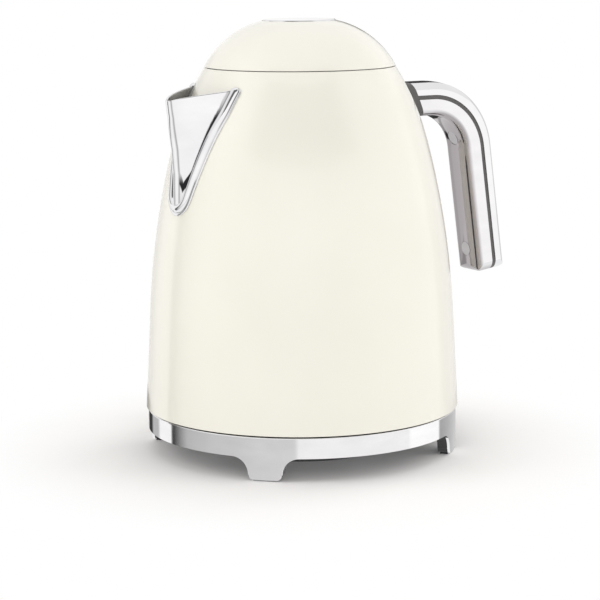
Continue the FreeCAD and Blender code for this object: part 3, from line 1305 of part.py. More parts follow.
# Screws of the handle, under their caps
bend_centre_z = dim.handle_z - dim.bend_r
inner_r = dim.bend_r - dim.handle_inner
leg_x = arc_low_x + (arc_low_z - dim.cap_leg_z) * tangent(dim.lean)
screw_rises = [dim.cap_bend_angle, dim.lean]
screw_starts = [
    (dim.bend_x + inner_r * cosine(dim.cap_bend_angle), 0,
     bend_centre_z + inner_r * sine(dim.cap_bend_angle)),
    (leg_x - dim.handle_inner * cosine(dim.lean), 0,
     dim.cap_leg_z - dim.handle_inner * sine(dim.lean)),
]


def deeper(start, rise, depth):
    return (start[0] + depth * cosine(rise), start[1], start[2] + depth * sine(rise))


caps = []
cap_seats = []
head_seats = []
shank_holes = []
handle_screws = []
for number, (start, rise) in enumerate(zip(screw_starts, screw_rises), start=1):
    outside = deeper(start, rise, -dim.handle_inner)
    under_cap = deeper(start, rise, dim.cap_thick)
    under_head = deeper(start, rise, dim.cap_thick + dim.handle_screw_head)
    caps.append(tilted_rod("cap_%d" % number, dim.cap_r, start, dim.cap_thick, rise))
    cap_seats.append(tilted_rod("cap_seat_%d" % number, dim.cap_r + dim.seat_gap, outside,
                                dim.handle_inner + dim.cap_thick, rise))
    head_seats.append(tilted_rod("head_seat_%d" % number, dim.handle_screw_head_r + dim.seat_gap,
                                 under_cap, dim.handle_screw_head, rise))
    shank_holes.append(tilted_rod("shank_hole_%d" % number, dim.handle_screw_r + dim.skin_gap,
                                  under_head, dim.handle_screw_long, rise))
    head = tilted_rod("handle_screw_head_%d" % number, dim.handle_screw_head_r, under_cap,
                      dim.handle_screw_head, rise)
    shank = tilted_rod("handle_screw_shank_%d" % number, dim.handle_screw_r, under_head,
                       dim.handle_screw_long - dim.seat_gap, rise)
    handle_screws.append(fuse("handle_screw_%d" % number, head, shank))
keep(cut("handle_outer_shell", outer_free, *shank_holes))
keep(cut("handle_inner_shell", inner_free, *cap_seats, *head_seats, *shank_holes))
keep(group("handle_screw_caps", *caps))
keep(group("handle_screws", *handle_screws))

# Bracket and bolts that hold the handle from inside the vessel
core_bolt_holes = []
bracket_holes = []
bolts = []
for name, side in (("left", -1), ("right", 1)):
    y = dim.bolt_place * side
    core_bolt_holes.append(rod("core_bolt_hole_" + name, dim.bolt_r + dim.skin_gap, "x",
                               (dim.bracket_x, y, dim.handle_z),
                               dim.bolt_tip_x + dim.seat_gap - dim.bracket_x))
    bracket_holes.append(rod("bracket_hole_" + name, dim.bolt_r + dim.seat_gap, "x",
                             (dim.bracket_x, y, dim.handle_z), NEAR))
    head = rod("bolt_head_" + name, dim.bolt_head_r, "x", (dim.bracket_x - dim.bolt_head, y, dim.handle_z),
               dim.bolt_head)
    shank = rod("bolt_shank_" + name, dim.bolt_r, "x", (dim.bracket_x, y, dim.handle_z),
                dim.bolt_tip_x - dim.bracket_x)
    bolts.append(fuse("handle_bolt_" + name, head, shank))
keep(cut("handle_core", core_blank, *shank_holes, *core_bolt_holes))
bracket_slab = box("bracket_slab",
                   (dim.bracket_x, -dim.bracket_half, dim.handle_z - dim.bracket_half_z),
                   (FAR, dim.bracket_half, dim.handle_z + dim.bracket_half_z))
bracket_blank = common("bracket_blank", vessel_solid(dim.wall + dim.skin_gap), bracket_slab)
keep(cut("handle_bracket", bracket_blank, *bracket_holes))
keep(group("handle_bolts", *bolts))

# Collar of the mouth with the hinge's ears and the catch pocket
collar_ring = turned("mouth_ring", [
    (dim.mouth_r, dim.collar_low_z),
    (dim.mouth_r + dim.collar_lip, dim.collar_low_z),
    (dim.mouth_r + dim.collar_lip, dim.collar_flange_z),
    (dim.body_foot_r, dim.collar_flange_z),
    (dim.body_foot_r, dim.collar_top_z),
    (dim.collar_bore_r, dim.collar_top_z),
    (dim.collar_bore_r, dim.collar_step_z),
    (dim.mouth_r, dim.collar_step_z),
])
fitted_ring = common("fitted_ring", collar_ring, vessel_solid(dim.wall + dim.seat_gap))
ear_foot_z = dim.hinge_notch_z + dim.slide_gap
hinge_ears = []
for name, low, high in (("left", -ear_out, -ear_in), ("right", ear_in, ear_out)):
    hinge_ears.append(box("hinge_ear_" + name, (dim.pan_flange_r + dim.slide_gap, low, ear_foot_z),
                          (hinge_x, high, hinge_z)))
    hinge_ears.append(rod("hinge_eye_" + name, dim.hinge_eye_r, "y", (hinge_x, low, hinge_z),
                          dim.hinge_ear))
ear_pin_hole = rod("ear_pin_hole", dim.hinge_pin_r + dim.skin_gap / 2, "y", (hinge_x, -ear_out, hinge_z),
                   ear_out * 2)
lug_notch = box("lug_notch", (dim.mouth_r, -ear_in, dim.lug_notch_z), (FAR, ear_in, dim.seam_z + NEAR))
catch_pocket = box("catch_pocket", (-dim.catch_pocket_x, -dim.catch_pocket_half, dim.catch_pocket_z),
                   (-dim.mouth_r, dim.catch_pocket_half, dim.seam_z + NEAR))
keep(cut("lid_collar", fuse("mouth_blank", fitted_ring, *hinge_ears), ear_pin_hole, lug_notch, catch_pocket))
keep(rod("lid_hinge_pin", dim.hinge_pin_r, "y", (hinge_x, -ear_out, hinge_z), ear_out * 2))
catch_back = -dim.catch_pocket_x + dim.seat_gap
catch_face = catch_back + dim.catch_sheet
keep(padded("lid_catch_spring", "XZ_Plane", [
    (catch_back, dim.catch_pocket_z + dim.skin_gap),
    (catch_face, dim.catch_pocket_z + dim.skin_gap),
    (catch_face, dim.catch_hook_z),
    (-dim.catch_hook_x, dim.catch_hook_z),
    (-dim.catch_hook_x, dim.catch_hook_z + dim.catch_sheet),
    (catch_face, dim.catch_top_z),
    (catch_back, dim.catch_top_z),
], -dim.catch_half, dim.catch_half))

# Lid dome
dome_low_z = dim.seam_z + dim.lid_gap
dome_hole_r = dim.button_r + dim.button_gap
mid_wall = dim.dome_wall * DIAGONAL
dome_shell = turned("dome_shell", [
    (dim.seam_r, dome_low_z),
    (dome_hole_r, dim.dome_top_z, dim.dome_mid_r, dim.dome_mid_z),
    (dome_hole_r, dim.dome_top_z - dim.dome_wall),
    (dim.seam_r - dim.dome_wall, dome_low_z, dim.dome_mid_r - mid_wall, dim.dome_mid_z - mid_wall),
])
dome_notch_half = ear_out + dim.hinge_side_gap
dome_notch = box("dome_notch", (dim.mouth_r, -dome_notch_half, dim.seam_z),
                 (FAR, dome_notch_half, hinge_z + dim.dome_notch_up))
keep(cut("lid_dome", dome_shell, dome_notch))

# Lid pan: plug, ledge, flange, rails for the latch, stop of its spring and the hinge lug
plug_r = dim.mouth_r - dim.plug_gap
plug_wall = dim.lid_floor
pan_r = dim.collar_bore_r - dim.pan_gap
pan_in = pan_r - dim.pan_wall
floor_top_z = dim.lid_floor_z + dim.lid_floor
ledge_top_z = dim.pan_ledge_z + dim.pan_ledge
pan_ring = turned("pan_ring", [
    (0, dim.lid_floor_z),
    (plug_r, dim.lid_floor_z),
    (plug_r, dim.pan_ledge_z),
    (pan_r, dim.pan_ledge_z),
    (pan_r, dim.pan_flange_z),
    (dim.pan_flange_r, dim.pan_flange_z),
    (dim.pan_flange_r, dim.pan_flange_z + dim.pan_flange),
    (pan_in, dim.pan_flange_z + dim.pan_flange),
    (pan_in, ledge_top_z),
    (plug_r - plug_wall, ledge_top_z),
    (plug_r - plug_wall, floor_top_z),
    (0, floor_top_z),
])
latch_side = dim.latch_half
rail_top_z = dim.latch_z - dim.skin_gap
front_rail = box("front_rail", (-dim.rail_front_x, -latch_side, floor_top_z - dim.skin_gap),
                 (-dim.rail_back_x, latch_side, rail_top_z))
rear_rail = box("rear_rail", (dim.guide_half_x + dim.slide_gap, -latch_side, floor_top_z - dim.skin_gap),
                (dim.latch_tail_x - dim.latch_tail, latch_side, rail_top_z))
spring_stop = box("spring_stop", (dim.spring_stop_x, -latch_side, floor_top_z - dim.skin_gap),
                  (dim.spring_stop_x + dim.latch_tail, latch_side, dim.latch_tail_z))
coil_room_half = dim.lid_coil_half + dim.lid_wire_r + dim.slide_gap
lug_root_x = hinge_x - dim.hinge_eye_r - dim.slide_gap
lug_top_z = hinge_z + dim.lug_up
lug_pieces = [box("lug_root", (pan_r - dim.pan_wall / 2, -dim.lid_lug_half, dim.lug_low_z),
                  (lug_root_x, dim.lid_lug_half, lug_top_z))]
for name, low, high in (("left", -dim.lid_lug_half, -coil_room_half),
                        ("right", coil_room_half, dim.lid_lug_half)):
    lug_pieces.append(box("lug_arm_" + name, (lug_root_x - dim.slide_gap, low, dim.lug_low_z),
                          (hinge_x, high, lug_top_z)))
    lug_pieces.append(rod("lug_eye_" + name, dim.hinge_eye_r, "y", (hinge_x, low, hinge_z), high - low))
lug_bore = rod("lid_lug_bore", dim.hinge_pin_r + dim.run_gap, "y",
               (hinge_x, -dim.lid_lug_half, hinge_z), dim.lid_lug_half * 2)
latch_door = box("latch_door", (-dim.seam_r, -latch_side - dim.slide_gap, ledge_top_z),
                 (-plug_r, latch_side + dim.slide_gap, dim.latch_z + dim.latch_thick + dim.slide_gap))
lid_screws = []
pan_screw_holes = []
guide_screw_holes = []
disc_screw_holes = []
disc_low_z = dim.lid_floor_z - dim.cover_disc
places = [(x, y) for x in (-dim.lid_screw_x, dim.lid_screw_x) for y in (-dim.lid_screw_y, dim.lid_screw_y)]
for number, (x, y) in enumerate(places, start=1):
    pan_screw_holes.append(rod("pan_screw_hole_%d" % number, dim.lid_screw_r + dim.seat_gap, "z",
                               (x, y, dim.lid_floor_z), dim.lid_floor))
    guide_screw_holes.append(rod("guide_screw_hole_%d" % number, dim.lid_screw_r + dim.skin_gap, "z",
                                 (x, y, floor_top_z), dim.lid_screw_tip_z - floor_top_z + dim.seat_gap))
    disc_screw_holes.append(rod("disc_screw_hole_%d" % number, dim.lid_screw_r + dim.seat_gap, "z",
                                (x, y, disc_low_z), dim.cover_disc))
    head = rod("lid_screw_head_%d" % number, dim.lid_screw_head_r, "z",
               (x, y, disc_low_z - dim.lid_screw_head), dim.lid_screw_head)
    shank = rod("lid_screw_shank_%d" % number, dim.lid_screw_r, "z", (x, y, disc_low_z),
                dim.lid_screw_tip_z - disc_low_z)
    lid_screws.append(fuse("lid_screw_%d" % number, head, shank))
pan_blank = fuse("pan_blank", pan_ring, front_rail, rear_rail, spring_stop, *lug_pieces)
keep(cut("lid_pan", pan_blank, lug_bore, latch_door, *pan_screw_holes))
disc_blank = rod("disc_blank", dim.cover_disc_r, "z", (0, 0, disc_low_z), dim.cover_disc)
keep(cut("lid_steel_disc", disc_blank, *disc_screw_holes))
keep(group("lid_screws", *lid_screws))
seal_low_z = dim.pan_ledge_z - dim.seal_thick
keep(turned("lid_seal", [
    (dim.mouth_r + dim.seal_in, seal_low_z),
    (pan_r - dim.seal_in, seal_low_z),
    (pan_r - dim.seal_in, dim.pan_ledge_z),
    (dim.mouth_r + dim.seal_in, dim.pan_ledge_z),
]))

# Button with its wedge, and the guide that carries it
stem_low = dim.button_flange_z + dim.skin_gap
wedge_top_z = dim.stem_tip_z + dim.stem_wide_x
button_cap = turned("button_cap", [
    (0, dim.button_flange_z),
    (dim.button_r + dim.button_flange, dim.button_flange_z),
    (dim.button_r + dim.button_flange, dim.button_flange_z + dim.button_flange),
    (dim.button_r, dim.button_flange_z + dim.button_flange),
    (dim.button_r, dim.button_top_z - dim.button_edge_r),
    (dim.button_r - dim.button_edge_r, dim.button_top_z,
     dim.button_r - dim.button_edge_r + dim.button_edge_r * DIAGONAL,
     dim.button_top_z - dim.button_edge_r + dim.button_edge_r * DIAGONAL),
    (0, dim.button_top_z),
])
stem = padded("button_stem", "XZ_Plane", [
    (dim.stem_back_x, dim.stem_tip_z),
    (0, dim.stem_tip_z),
    (dim.stem_wide_x, wedge_top_z),
    (dim.stem_wide_x, stem_low),
    (dim.stem_back_x, stem_low),
], -dim.stem_half, dim.stem_half)
keep(fuse("lid_button", button_cap, stem))
guide_block = box("guide_block", (-dim.guide_half_x, -dim.guide_half_y, floor_top_z),
                  (dim.guide_half_x, dim.guide_half_y, dim.guide_top_z))
guide_tunnel = box("guide_tunnel", (-NEAR, -dim.tunnel_half, floor_top_z),
                   (NEAR, dim.tunnel_half, dim.guide_top_z - dim.guide_roof))
stem_hole = box("stem_hole", (dim.stem_back_x - dim.stem_gap, -dim.stem_half - dim.stem_gap, floor_top_z),
                (dim.stem_wide_x + dim.stem_gap, dim.stem_half + dim.stem_gap, dim.guide_top_z))
keep(cut("button_guide", guide_block, guide_tunnel, stem_hole, *guide_screw_holes))

# Latch slide: the wedge of the stem pushes the rear edge of its slot
latch_top_z = dim.latch_z + dim.latch_thick
slot_rear_x = latch_top_z - dim.stem_tip_z + dim.slide_gap
slot_front_x = dim.stem_back_x - dim.press - dim.stem_gap
latch_plate = box("latch_plate", (-dim.latch_nose_x, -latch_side, dim.latch_z),
                  (dim.latch_tail_x, latch_side, latch_top_z))
latch_tail = box("latch_tail", (dim.latch_tail_x - dim.latch_tail, -latch_side, dim.latch_z),
                 (dim.latch_tail_x, latch_side, dim.latch_tail_z))
latch_slot = box("latch_slot", (slot_front_x, -dim.latch_slot_half, dim.latch_z),
                 (slot_rear_x, dim.latch_slot_half, latch_top_z))
keep(cut("latch_slide", fuse("latch_blank", latch_plate, latch_tail), latch_slot))

# Springs
keep(coil("button_spring", dim.button_coil_r, dim.button_wire_r,
          dim.button_flange_z - dim.guide_top_z - dim.button_wire_r * 2 - dim.seat_gap * 2, dim.button_turns,
          (0, 0, dim.guide_top_z + dim.button_wire_r + dim.seat_gap), "z"))
latch_coil_z = (rail_top_z + dim.latch_tail_z) / 2
keep(coil("latch_spring", dim.latch_coil_r, dim.latch_wire_r,
          dim.spring_stop_x - dim.latch_tail_x - dim.latch_wire_r * 2 - dim.seat_gap * 2, dim.latch_turns,
          (dim.latch_tail_x + dim.latch_wire_r + dim.seat_gap, 0, latch_coil_z), "x"))
keep(coil("lid_spring", dim.lid_coil_r, dim.lid_wire_r, dim.lid_coil_half * 2, dim.lid_turns,
          (hinge_x, -dim.lid_coil_half, hinge_z), "y"))

# Every piece is tested, then written out
doc.recompute()
broken = [item.Label for item in doc.Objects if "Invalid" in item.State or "Error" in item.State]
for solid in NODES:
    if solid.Shape.isNull() or not solid.Shape.isValid() or not solid.Shape.Solids:
        broken.append(solid.Label)
if broken:
    raise RuntimeError("not built: " + ", ".join(broken))
os.makedirs("parts", exist_ok=True)
for solid in NODES:
    solid.Shape.exportStep("parts/%s.step" % solid.Label)
    print(solid.Label, len(solid.Shape.Solids), round(solid.Shape.Volume))
print(len(NODES), "pieces")
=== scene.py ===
# %% [markdown]
# # An enamelled electric kettle
# The kettle stands on a low round base with flared feet. Its vessel is pressed steel under cream enamel, its
# spout, handle and button are polished, and what is hidden is mostly plain moulded plastic. The packed
# solids are the frame: they keep their places, and this lesson dresses them.

# %% The frame
import json

import bmesh
import bpy
import numpy as np
from mathutils import Matrix, Vector


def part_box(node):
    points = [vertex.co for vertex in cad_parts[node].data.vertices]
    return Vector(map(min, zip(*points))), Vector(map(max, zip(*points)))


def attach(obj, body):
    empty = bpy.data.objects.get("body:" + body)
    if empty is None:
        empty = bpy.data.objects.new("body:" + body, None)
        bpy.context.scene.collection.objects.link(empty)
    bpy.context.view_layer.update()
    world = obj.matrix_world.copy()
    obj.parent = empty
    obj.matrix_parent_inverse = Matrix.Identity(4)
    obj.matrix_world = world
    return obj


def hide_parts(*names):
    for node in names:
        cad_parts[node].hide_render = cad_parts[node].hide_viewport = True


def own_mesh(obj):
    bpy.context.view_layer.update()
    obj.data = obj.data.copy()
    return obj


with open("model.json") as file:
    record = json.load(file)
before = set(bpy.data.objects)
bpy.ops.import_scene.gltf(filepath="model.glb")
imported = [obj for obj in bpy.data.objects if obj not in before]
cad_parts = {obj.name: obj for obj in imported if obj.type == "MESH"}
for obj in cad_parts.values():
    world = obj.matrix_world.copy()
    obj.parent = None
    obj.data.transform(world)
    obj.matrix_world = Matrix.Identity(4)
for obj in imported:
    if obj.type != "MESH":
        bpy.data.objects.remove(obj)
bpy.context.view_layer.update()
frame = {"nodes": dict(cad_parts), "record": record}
nodes = frame["nodes"]
MM = 0.001

# %% [markdown]
# ## Camera
# The picture was taken from a little above the lid with a long lens. A camera could be aimed with a Track To
# constraint, but a matrix made of its right, up and back directions also holds the picture's small roll.
# The places of the camera, the cards and the lamps are in metres.

# %% Camera at the picture's angle
VIEW_TURN = np.radians(-31.6)
PITCH, YAW, ROLL = np.radians([9.743, -0.0365, -0.435])
CAMERA_AWAY, CAMERA_HEIGHT = 1.20756, 0.29327
LENS_PIXELS, PICTURE_PIXELS = 2108.27, 600
SENSOR_MM = 36.0
NEAREST_SEEN = 0.05


def camera_directions():
    """Right, up and forward: the level aim is lowered by the pitch, then right and up turn by the roll."""
    turn = VIEW_TURN - YAW
    right = np.array([np.cos(turn), np.sin(turn), 0.0])
    level = np.array([-np.sin(turn), np.cos(turn), 0.0])
    forward = np.cos(PITCH) * level - np.sin(PITCH) * np.array([0.0, 0.0, 1.0])
    up = np.cross(right, forward)
    rolled_right = np.cos(ROLL) * right + np.sin(ROLL) * up
    rolled_up = np.cos(ROLL) * up - np.sin(ROLL) * right
    return rolled_right, rolled_up, forward


right, up, forward = camera_directions()
place = Matrix(np.stack([right, up, -forward], axis=1).tolist()).to_4x4()
place.translation = (CAMERA_AWAY * np.sin(VIEW_TURN), -CAMERA_AWAY * np.cos(VIEW_TURN), CAMERA_HEIGHT)
camera = bpy.data.objects.new("camera", bpy.data.cameras.new("camera"))
bpy.context.scene.collection.objects.link(camera)
camera.matrix_world = place
camera.data.sensor_width = SENSOR_MM
camera.data.lens = SENSOR_MM * LENS_PIXELS / PICTURE_PIXELS
camera.data.clip_start = NEAREST_SEEN
bpy.context.scene.camera = camera
bpy.context.scene.view_settings.view_transform = "Standard"
print("lens", round(camera.data.lens, 1), "mm")

# %% [markdown]
# ## Studio
# A white room gives polished metal nothing to show, so a photographer stands grey and black cards round it.
# The lamps and the floor stay out of the reflections here, so only the cards and the white above them set
# the greys. Nodes could be placed in the editor, but a few helpers make every tree short to write.

# %% Helpers for shader nodes
WHITE = (1.0, 1.0, 1.0, 1.0)


def node_tree(owner):
    """Empties an owner's node tree and returns its nodes and links."""
    owner.use_nodes = True
    tree = owner.node_tree
    tree.nodes.clear()
    return tree.nodes, tree.links


def combined(made, links, operation, first, second):
    """What a Math node makes of two sockets."""
    answer = made.new("ShaderNodeMath")
    answer.operation = operation
    links.new(first, answer.inputs[0])
    links.new(second, answer.inputs[1])
    return answer.outputs[0]


def blended(made, links, factor, first, second):
    """The first shader where the factor is 0, and the second where it is 1."""
    mix = made.new("ShaderNodeMixShader")
    links.new(factor, mix.inputs[0])
    links.new(first.outputs[0], mix.inputs[1])
    links.new(second.outputs[0], mix.inputs[2])
    return mix.outputs[0]


def seen_directly(made, links):
    """1 for rays from the eye, from a mirror or through glass, else 0."""
    path = made.new("ShaderNodeLightPath")
    seen = path.outputs["Is Camera Ray"]
    for kind in ("Is Glossy Ray", "Is Transmission Ray"):
        seen = combined(made, links, "MAXIMUM", seen, path.outputs[kind])
    return seen


# %% [markdown]
# ## White room
# Everything round the kettle is plain white. A white world alone would do, but one that looks white also
# lights the enamel too much. So the room is full white where it is seen and sheds a softer light.

# %% White room
WORLD_LIGHT = 0.62
WORLD_TINT = (1.0, 0.99, 0.975, 1.0)


def white_room():
    """Full white where the room is seen, and a softer, slightly warm light for surfaces."""
    world = bpy.data.worlds.new("white_room")
    made, links = node_tree(world)
    output = made.new("ShaderNodeOutputWorld")
    shine = made.new("ShaderNodeBackground")
    shine.inputs["Color"].default_value = WORLD_TINT
    shine.inputs["Strength"].default_value = WORLD_LIGHT
    backdrop = made.new("ShaderNodeBackground")
    backdrop.inputs["Color"].default_value = WHITE
    backdrop.inputs["Strength"].default_value = 1.0
    room = blended(made, links, seen_directly(made, links), shine, backdrop)
    links.new(room, output.inputs["Surface"])
    return world


bpy.context.scene.world = white_room()
print("white room that lights with strength", WORLD_LIGHT)

# %% [markdown]
# ## Floor
# The kettle stands on white paper that shows a shadow close to it and no edge. A shadow catcher would need
# the picture put together afterwards. So the paper glows white away from the kettle and is plain near it.

# %% Floor
FLOOR_HALF = 4.0
SHADOW_FROM, SHADOW_TO = 0.095, 0.20
SHADOW_GLOW = 0.07
PAPER_TONE = (0.90, 0.885, 0.875, 1.0)


def flat_card(name, half):
    """A level square at height 0: half times s and half times t, for s and t of -1 and 1."""
    corners = [(s * half, t * half, 0.0) for s, t in ((-1, -1), (1, -1), (1, 1), (-1, 1))]
    mesh = bpy.data.meshes.new(name)
    mesh.from_pydata(corners, [], [(0, 1, 2, 3)])
    card = bpy.data.objects.new(name, mesh)
    bpy.context.scene.collection.objects.link(card)
    return card


def floor_paper():
    """Matt paper, with a glow where it is seen whose share rises with the distance from the origin."""
    finish = bpy.data.materials.new("floor_paper")
    made, links = node_tree(finish)
    output = made.new("ShaderNodeOutputMaterial")
    paper = made.new("ShaderNodeBsdfDiffuse")
    paper.inputs["Color"].default_value = PAPER_TONE
    glow = made.new("ShaderNodeEmission")
    glow.inputs["Color"].default_value = WHITE
    glow.inputs["Strength"].default_value = 1.0
    where = made.new("ShaderNodeTexCoord")
    distance = made.new("ShaderNodeVectorMath")
    distance.operation = "LENGTH"
    links.new(where.outputs["Object"], distance.inputs[0])
    away = made.new("ShaderNodeMapRange")
    away.interpolation_type = "SMOOTHSTEP"
    away.inputs["From Min"].default_value = SHADOW_FROM
    away.inputs["From Max"].default_value = SHADOW_TO
    away.inputs["To Min"].default_value = SHADOW_GLOW
    away.inputs["To Max"].default_value = 1.0
    links.new(distance.outputs["Value"], away.inputs["Value"])
    share = combined(made, links, "MULTIPLY", seen_directly(made, links), away.outputs[0])
    links.new(blended(made, links, share, paper, glow), output.inputs["Surface"])
    return finish


floor = flat_card("floor", FLOOR_HALF)
floor.data.materials.append(floor_paper())
floor.visible_glossy = False
print("floor of", 2 * FLOOR_HALF, "metres a side")

# %% [markdown]
# ## Cards for the reflections
# The cards could be many planes. One round screen with a list of tones is easier to tune: each tone stands at
# its turn in degrees, counted from the -Y side towards +X. Only reflections see the screen. It goes down past
# the floor, because an upright surface seen from above mirrors what lies lower.

# %% Tones of the screen
RING_TONES = [
    (-180, 0.05), (-176, 0.05), (-172, 0.55), (-160, 0.58), (-156, 1.10), (-139, 1.12), (-137.5, 0.03),
    (-134, 0.10), (-120, 0.55), (-95, 0.68), (-60, 0.74), (-37, 0.78), (-34, 1.05), (48, 1.05), (50, 1.20),
    (83, 1.20), (85, 0.45), (118, 0.65), (150, 0.60), (168, 0.50), (172, 0.05), (180, 0.05),
]
MIDDLE_TONES = [
    (-180, 0.78), (-170, 0.78), (-166, 0.95), (-141, 1.10), (-139.5, 0.05), (-134, 0.15), (-122, 0.70),
    (-100, 1.05), (-60, 1.12), (83, 1.12), (88, 0.75), (120, 0.80), (134.5, 0.80), (136, 0.05),
    (143.5, 0.05), (145, 0.95), (150, 1.00), (169, 1.05), (173, 0.78), (180, 0.78),
]
HIGH_TONES = [(-180, 0.95), (-85, 0.95), (-70, 0.15), (10, 0.15), (25, 0.95), (180, 0.95)]
BANDS = [
    ("ring_screen", -0.155, -0.085, RING_TONES),
    ("middle_screen", -0.085, 0.38, MIDDLE_TONES),
    ("high_screen", 0.38, 1.0, HIGH_TONES),
]
SCREEN_R, SCREEN_STEP = 0.62, 3
SCREEN_SHINE = 1.25
SCREEN_TINT = np.array([1.0, 0.99, 0.985])
print("tones for", ", ".join(band[0] for band in BANDS))


# %% The screen
def toward(turn_degrees, distance, height):
    """A point at that turn round the kettle, counted from the -Y side towards +X."""
    turn = np.radians(turn_degrees)
    return np.array([distance * np.sin(turn), -distance * np.cos(turn), height])


def toned_screen(name, low, high):
    """An upright band round the kettle: radius times (sin, -cos) of the turn, from its foot to its top."""
    turns = np.arange(-180, 180, SCREEN_STEP)
    rings = [[tuple(toward(turn, SCREEN_R, height)) for turn in turns] for height in (low, high)]
    count = len(turns)
    faces = [(k, (k + 1) % count, count + (k + 1) % count, count + k) for k in range(count)]
    mesh = bpy.data.meshes.new(name)
    mesh.from_pydata(rings[0] + rings[1], [], faces)
    screen = bpy.data.objects.new(name, mesh)
    bpy.context.scene.collection.objects.link(screen)
    screen.visible_camera = False
    screen.visible_diffuse = False
    screen.visible_shadow = False
    screen.visible_transmission = False
    return screen


def screen_tones(name, tones):
    """Grey by the turn, atan2(x, -y), read from a ramp of the listed tones."""
    paint = bpy.data.materials.new(name)
    made, links = node_tree(paint)
    output = made.new("ShaderNodeOutputMaterial")
    where = made.new("ShaderNodeTexCoord")
    parts = made.new("ShaderNodeSeparateXYZ")
    links.new(where.outputs["Object"], parts.inputs[0])
    flip = made.new("ShaderNodeMath")
    flip.operation = "MULTIPLY"
    flip.inputs[1].default_value = -1.0
    links.new(parts.outputs["Y"], flip.inputs[0])
    turn = combined(made, links, "ARCTAN2", parts.outputs["X"], flip.outputs[0])
    share = made.new("ShaderNodeMapRange")
    share.inputs["From Min"].default_value = -np.pi
    share.inputs["From Max"].default_value = np.pi
    links.new(turn, share.inputs["Value"])
    ramp = made.new("ShaderNodeValToRGB")
    stops = ramp.color_ramp.elements
    while len(stops) < len(tones):
        stops.new(0.5)
    for stop, (degrees, tone) in zip(stops, tones):
        stop.position = (degrees + 180) / 360
        stop.color = (*(SCREEN_TINT * tone / SCREEN_SHINE), 1.0)
    links.new(share.outputs[0], ramp.inputs[0])
    shine = made.new("ShaderNodeEmission")
    shine.inputs["Strength"].default_value = SCREEN_SHINE
    links.new(ramp.outputs[0], shine.inputs["Color"])
    links.new(shine.outputs[0], output.inputs["Surface"])
    return paint


for name, low, high, tones in BANDS:
    toned_screen(name, low, high).data.materials.append(screen_tones(name, tones))
print("screen of", len(BANDS), "bands")

# %% [markdown]
# ## Softboxes
# Large lamps give the enamel its soft shading. Spot lamps would draw hard shadows, so these are rectangles
# of about a metre. Each has its place, width, height and watts, and none of them shows in the metal.

# %% Softboxes
LAMP_AIM = Vector((0.0, 0.0, 0.12))
SOFTBOXES = [
    ("softbox_left", toward(-115, 1.5, 0.9), 0.9, 1.3, 8.0),
    ("softbox_right", toward(50, 1.6, 0.9), 0.9, 1.3, 6.5),
    ("softbox_top", (0.0, 0.1, 1.7), 1.4, 1.4, 4.0),
    ("softbox_front", toward(-32, 1.8, 0.5), 1.3, 1.2, 8.0),
    ("softbox_back", toward(105, 1.6, 0.7), 0.9, 1.2, 9.0),
]


def softbox(name, stand, wide, high, watts):
    """A rectangular lamp that shines from where it stands at the middle of the kettle."""
    lamp = bpy.data.lights.new(name, "AREA")
    lamp.shape = "RECTANGLE"
    lamp.size, lamp.size_y = wide, high
    lamp.energy = watts
    box = bpy.data.objects.new(name, lamp)
    bpy.context.scene.collection.objects.link(box)
    box.location = stand
    box.rotation_euler = (LAMP_AIM - Vector(stand)).to_track_quat("-Z", "Y").to_euler()
    box.visible_glossy = False


for lamp_values in SOFTBOXES:
    softbox(*lamp_values)
print("lit by", len(SOFTBOXES), "softboxes")

# %% [markdown]
# ## Finishes
# Every finish is a Principled shader whose colour, roughness and, on all but the window, bump come from noise
# or waves at the size of the real surface's marks. Image textures would need a map on every solid. The noise
# reads Object coordinates instead, which are metres here, so a scale of 900 makes marks of about a
# millimetre. What is the same all over is set on the shader's own socket.

# %% Helpers for finishes
MARKS_LOW, MARKS_HIGH = 0.3, 0.7
TINT_LOW, TINT_HIGH = 0.32, 0.68


def start_finish(name):
    """A new material with its Principled shader and its Object coordinates."""
    finish = bpy.data.materials.new(name)
    made, links = node_tree(finish)
    output = made.new("ShaderNodeOutputMaterial")
    shader = made.new("ShaderNodeBsdfPrincipled")
    links.new(shader.outputs[0], output.inputs["Surface"])
    where = made.new("ShaderNodeTexCoord")
    return finish, made, links, shader, where.outputs["Object"]


def stretched(made, links, where, stretch):
    """The coordinates multiplied by a factor along each axis."""
    mapping = made.new("ShaderNodeMapping")
    mapping.inputs["Scale"].default_value = stretch
    links.new(where, mapping.inputs["Vector"])
    return mapping.outputs[0]


def noise(made, links, where, scale, detail=4.0):
    """Soft random marks between 0 and 1, scale of them to a metre."""
    marks = made.new("ShaderNodeTexNoise")
    marks.inputs["Scale"].default_value = scale
    marks.inputs["Detail"].default_value = detail
    links.new(where, marks.inputs["Vector"])
    return marks.outputs[0]


def between(made, links, factor, low, high):
    """The factor's middle part spread from low to high."""
    spread = made.new("ShaderNodeMapRange")
    spread.inputs["From Min"].default_value = MARKS_LOW
    spread.inputs["From Max"].default_value = MARKS_HIGH
    spread.inputs["To Min"].default_value = low
    spread.inputs["To Max"].default_value = high
    links.new(factor, spread.inputs["Value"])
    return spread.outputs[0]


def tinted(made, links, factor, dark, light):
    """A colour that goes from dark to light with the factor."""
    ramp = made.new("ShaderNodeValToRGB")
    first, last = ramp.color_ramp.elements
    first.position, last.position = TINT_LOW, TINT_HIGH
    first.color, last.color = (*dark, 1.0), (*light, 1.0)
    links.new(factor, ramp.inputs[0])
    return ramp.outputs[0]


def roughened(made, links, shader, height, strength, depth):
    """Bump of the given depth in metres under the shader."""
    bump = made.new("ShaderNodeBump")
    bump.inputs["Strength"].default_value = strength
    bump.inputs["Distance"].default_value = depth
    links.new(height, bump.inputs["Height"])
    links.new(bump.outputs[0], shader.inputs["Normal"])


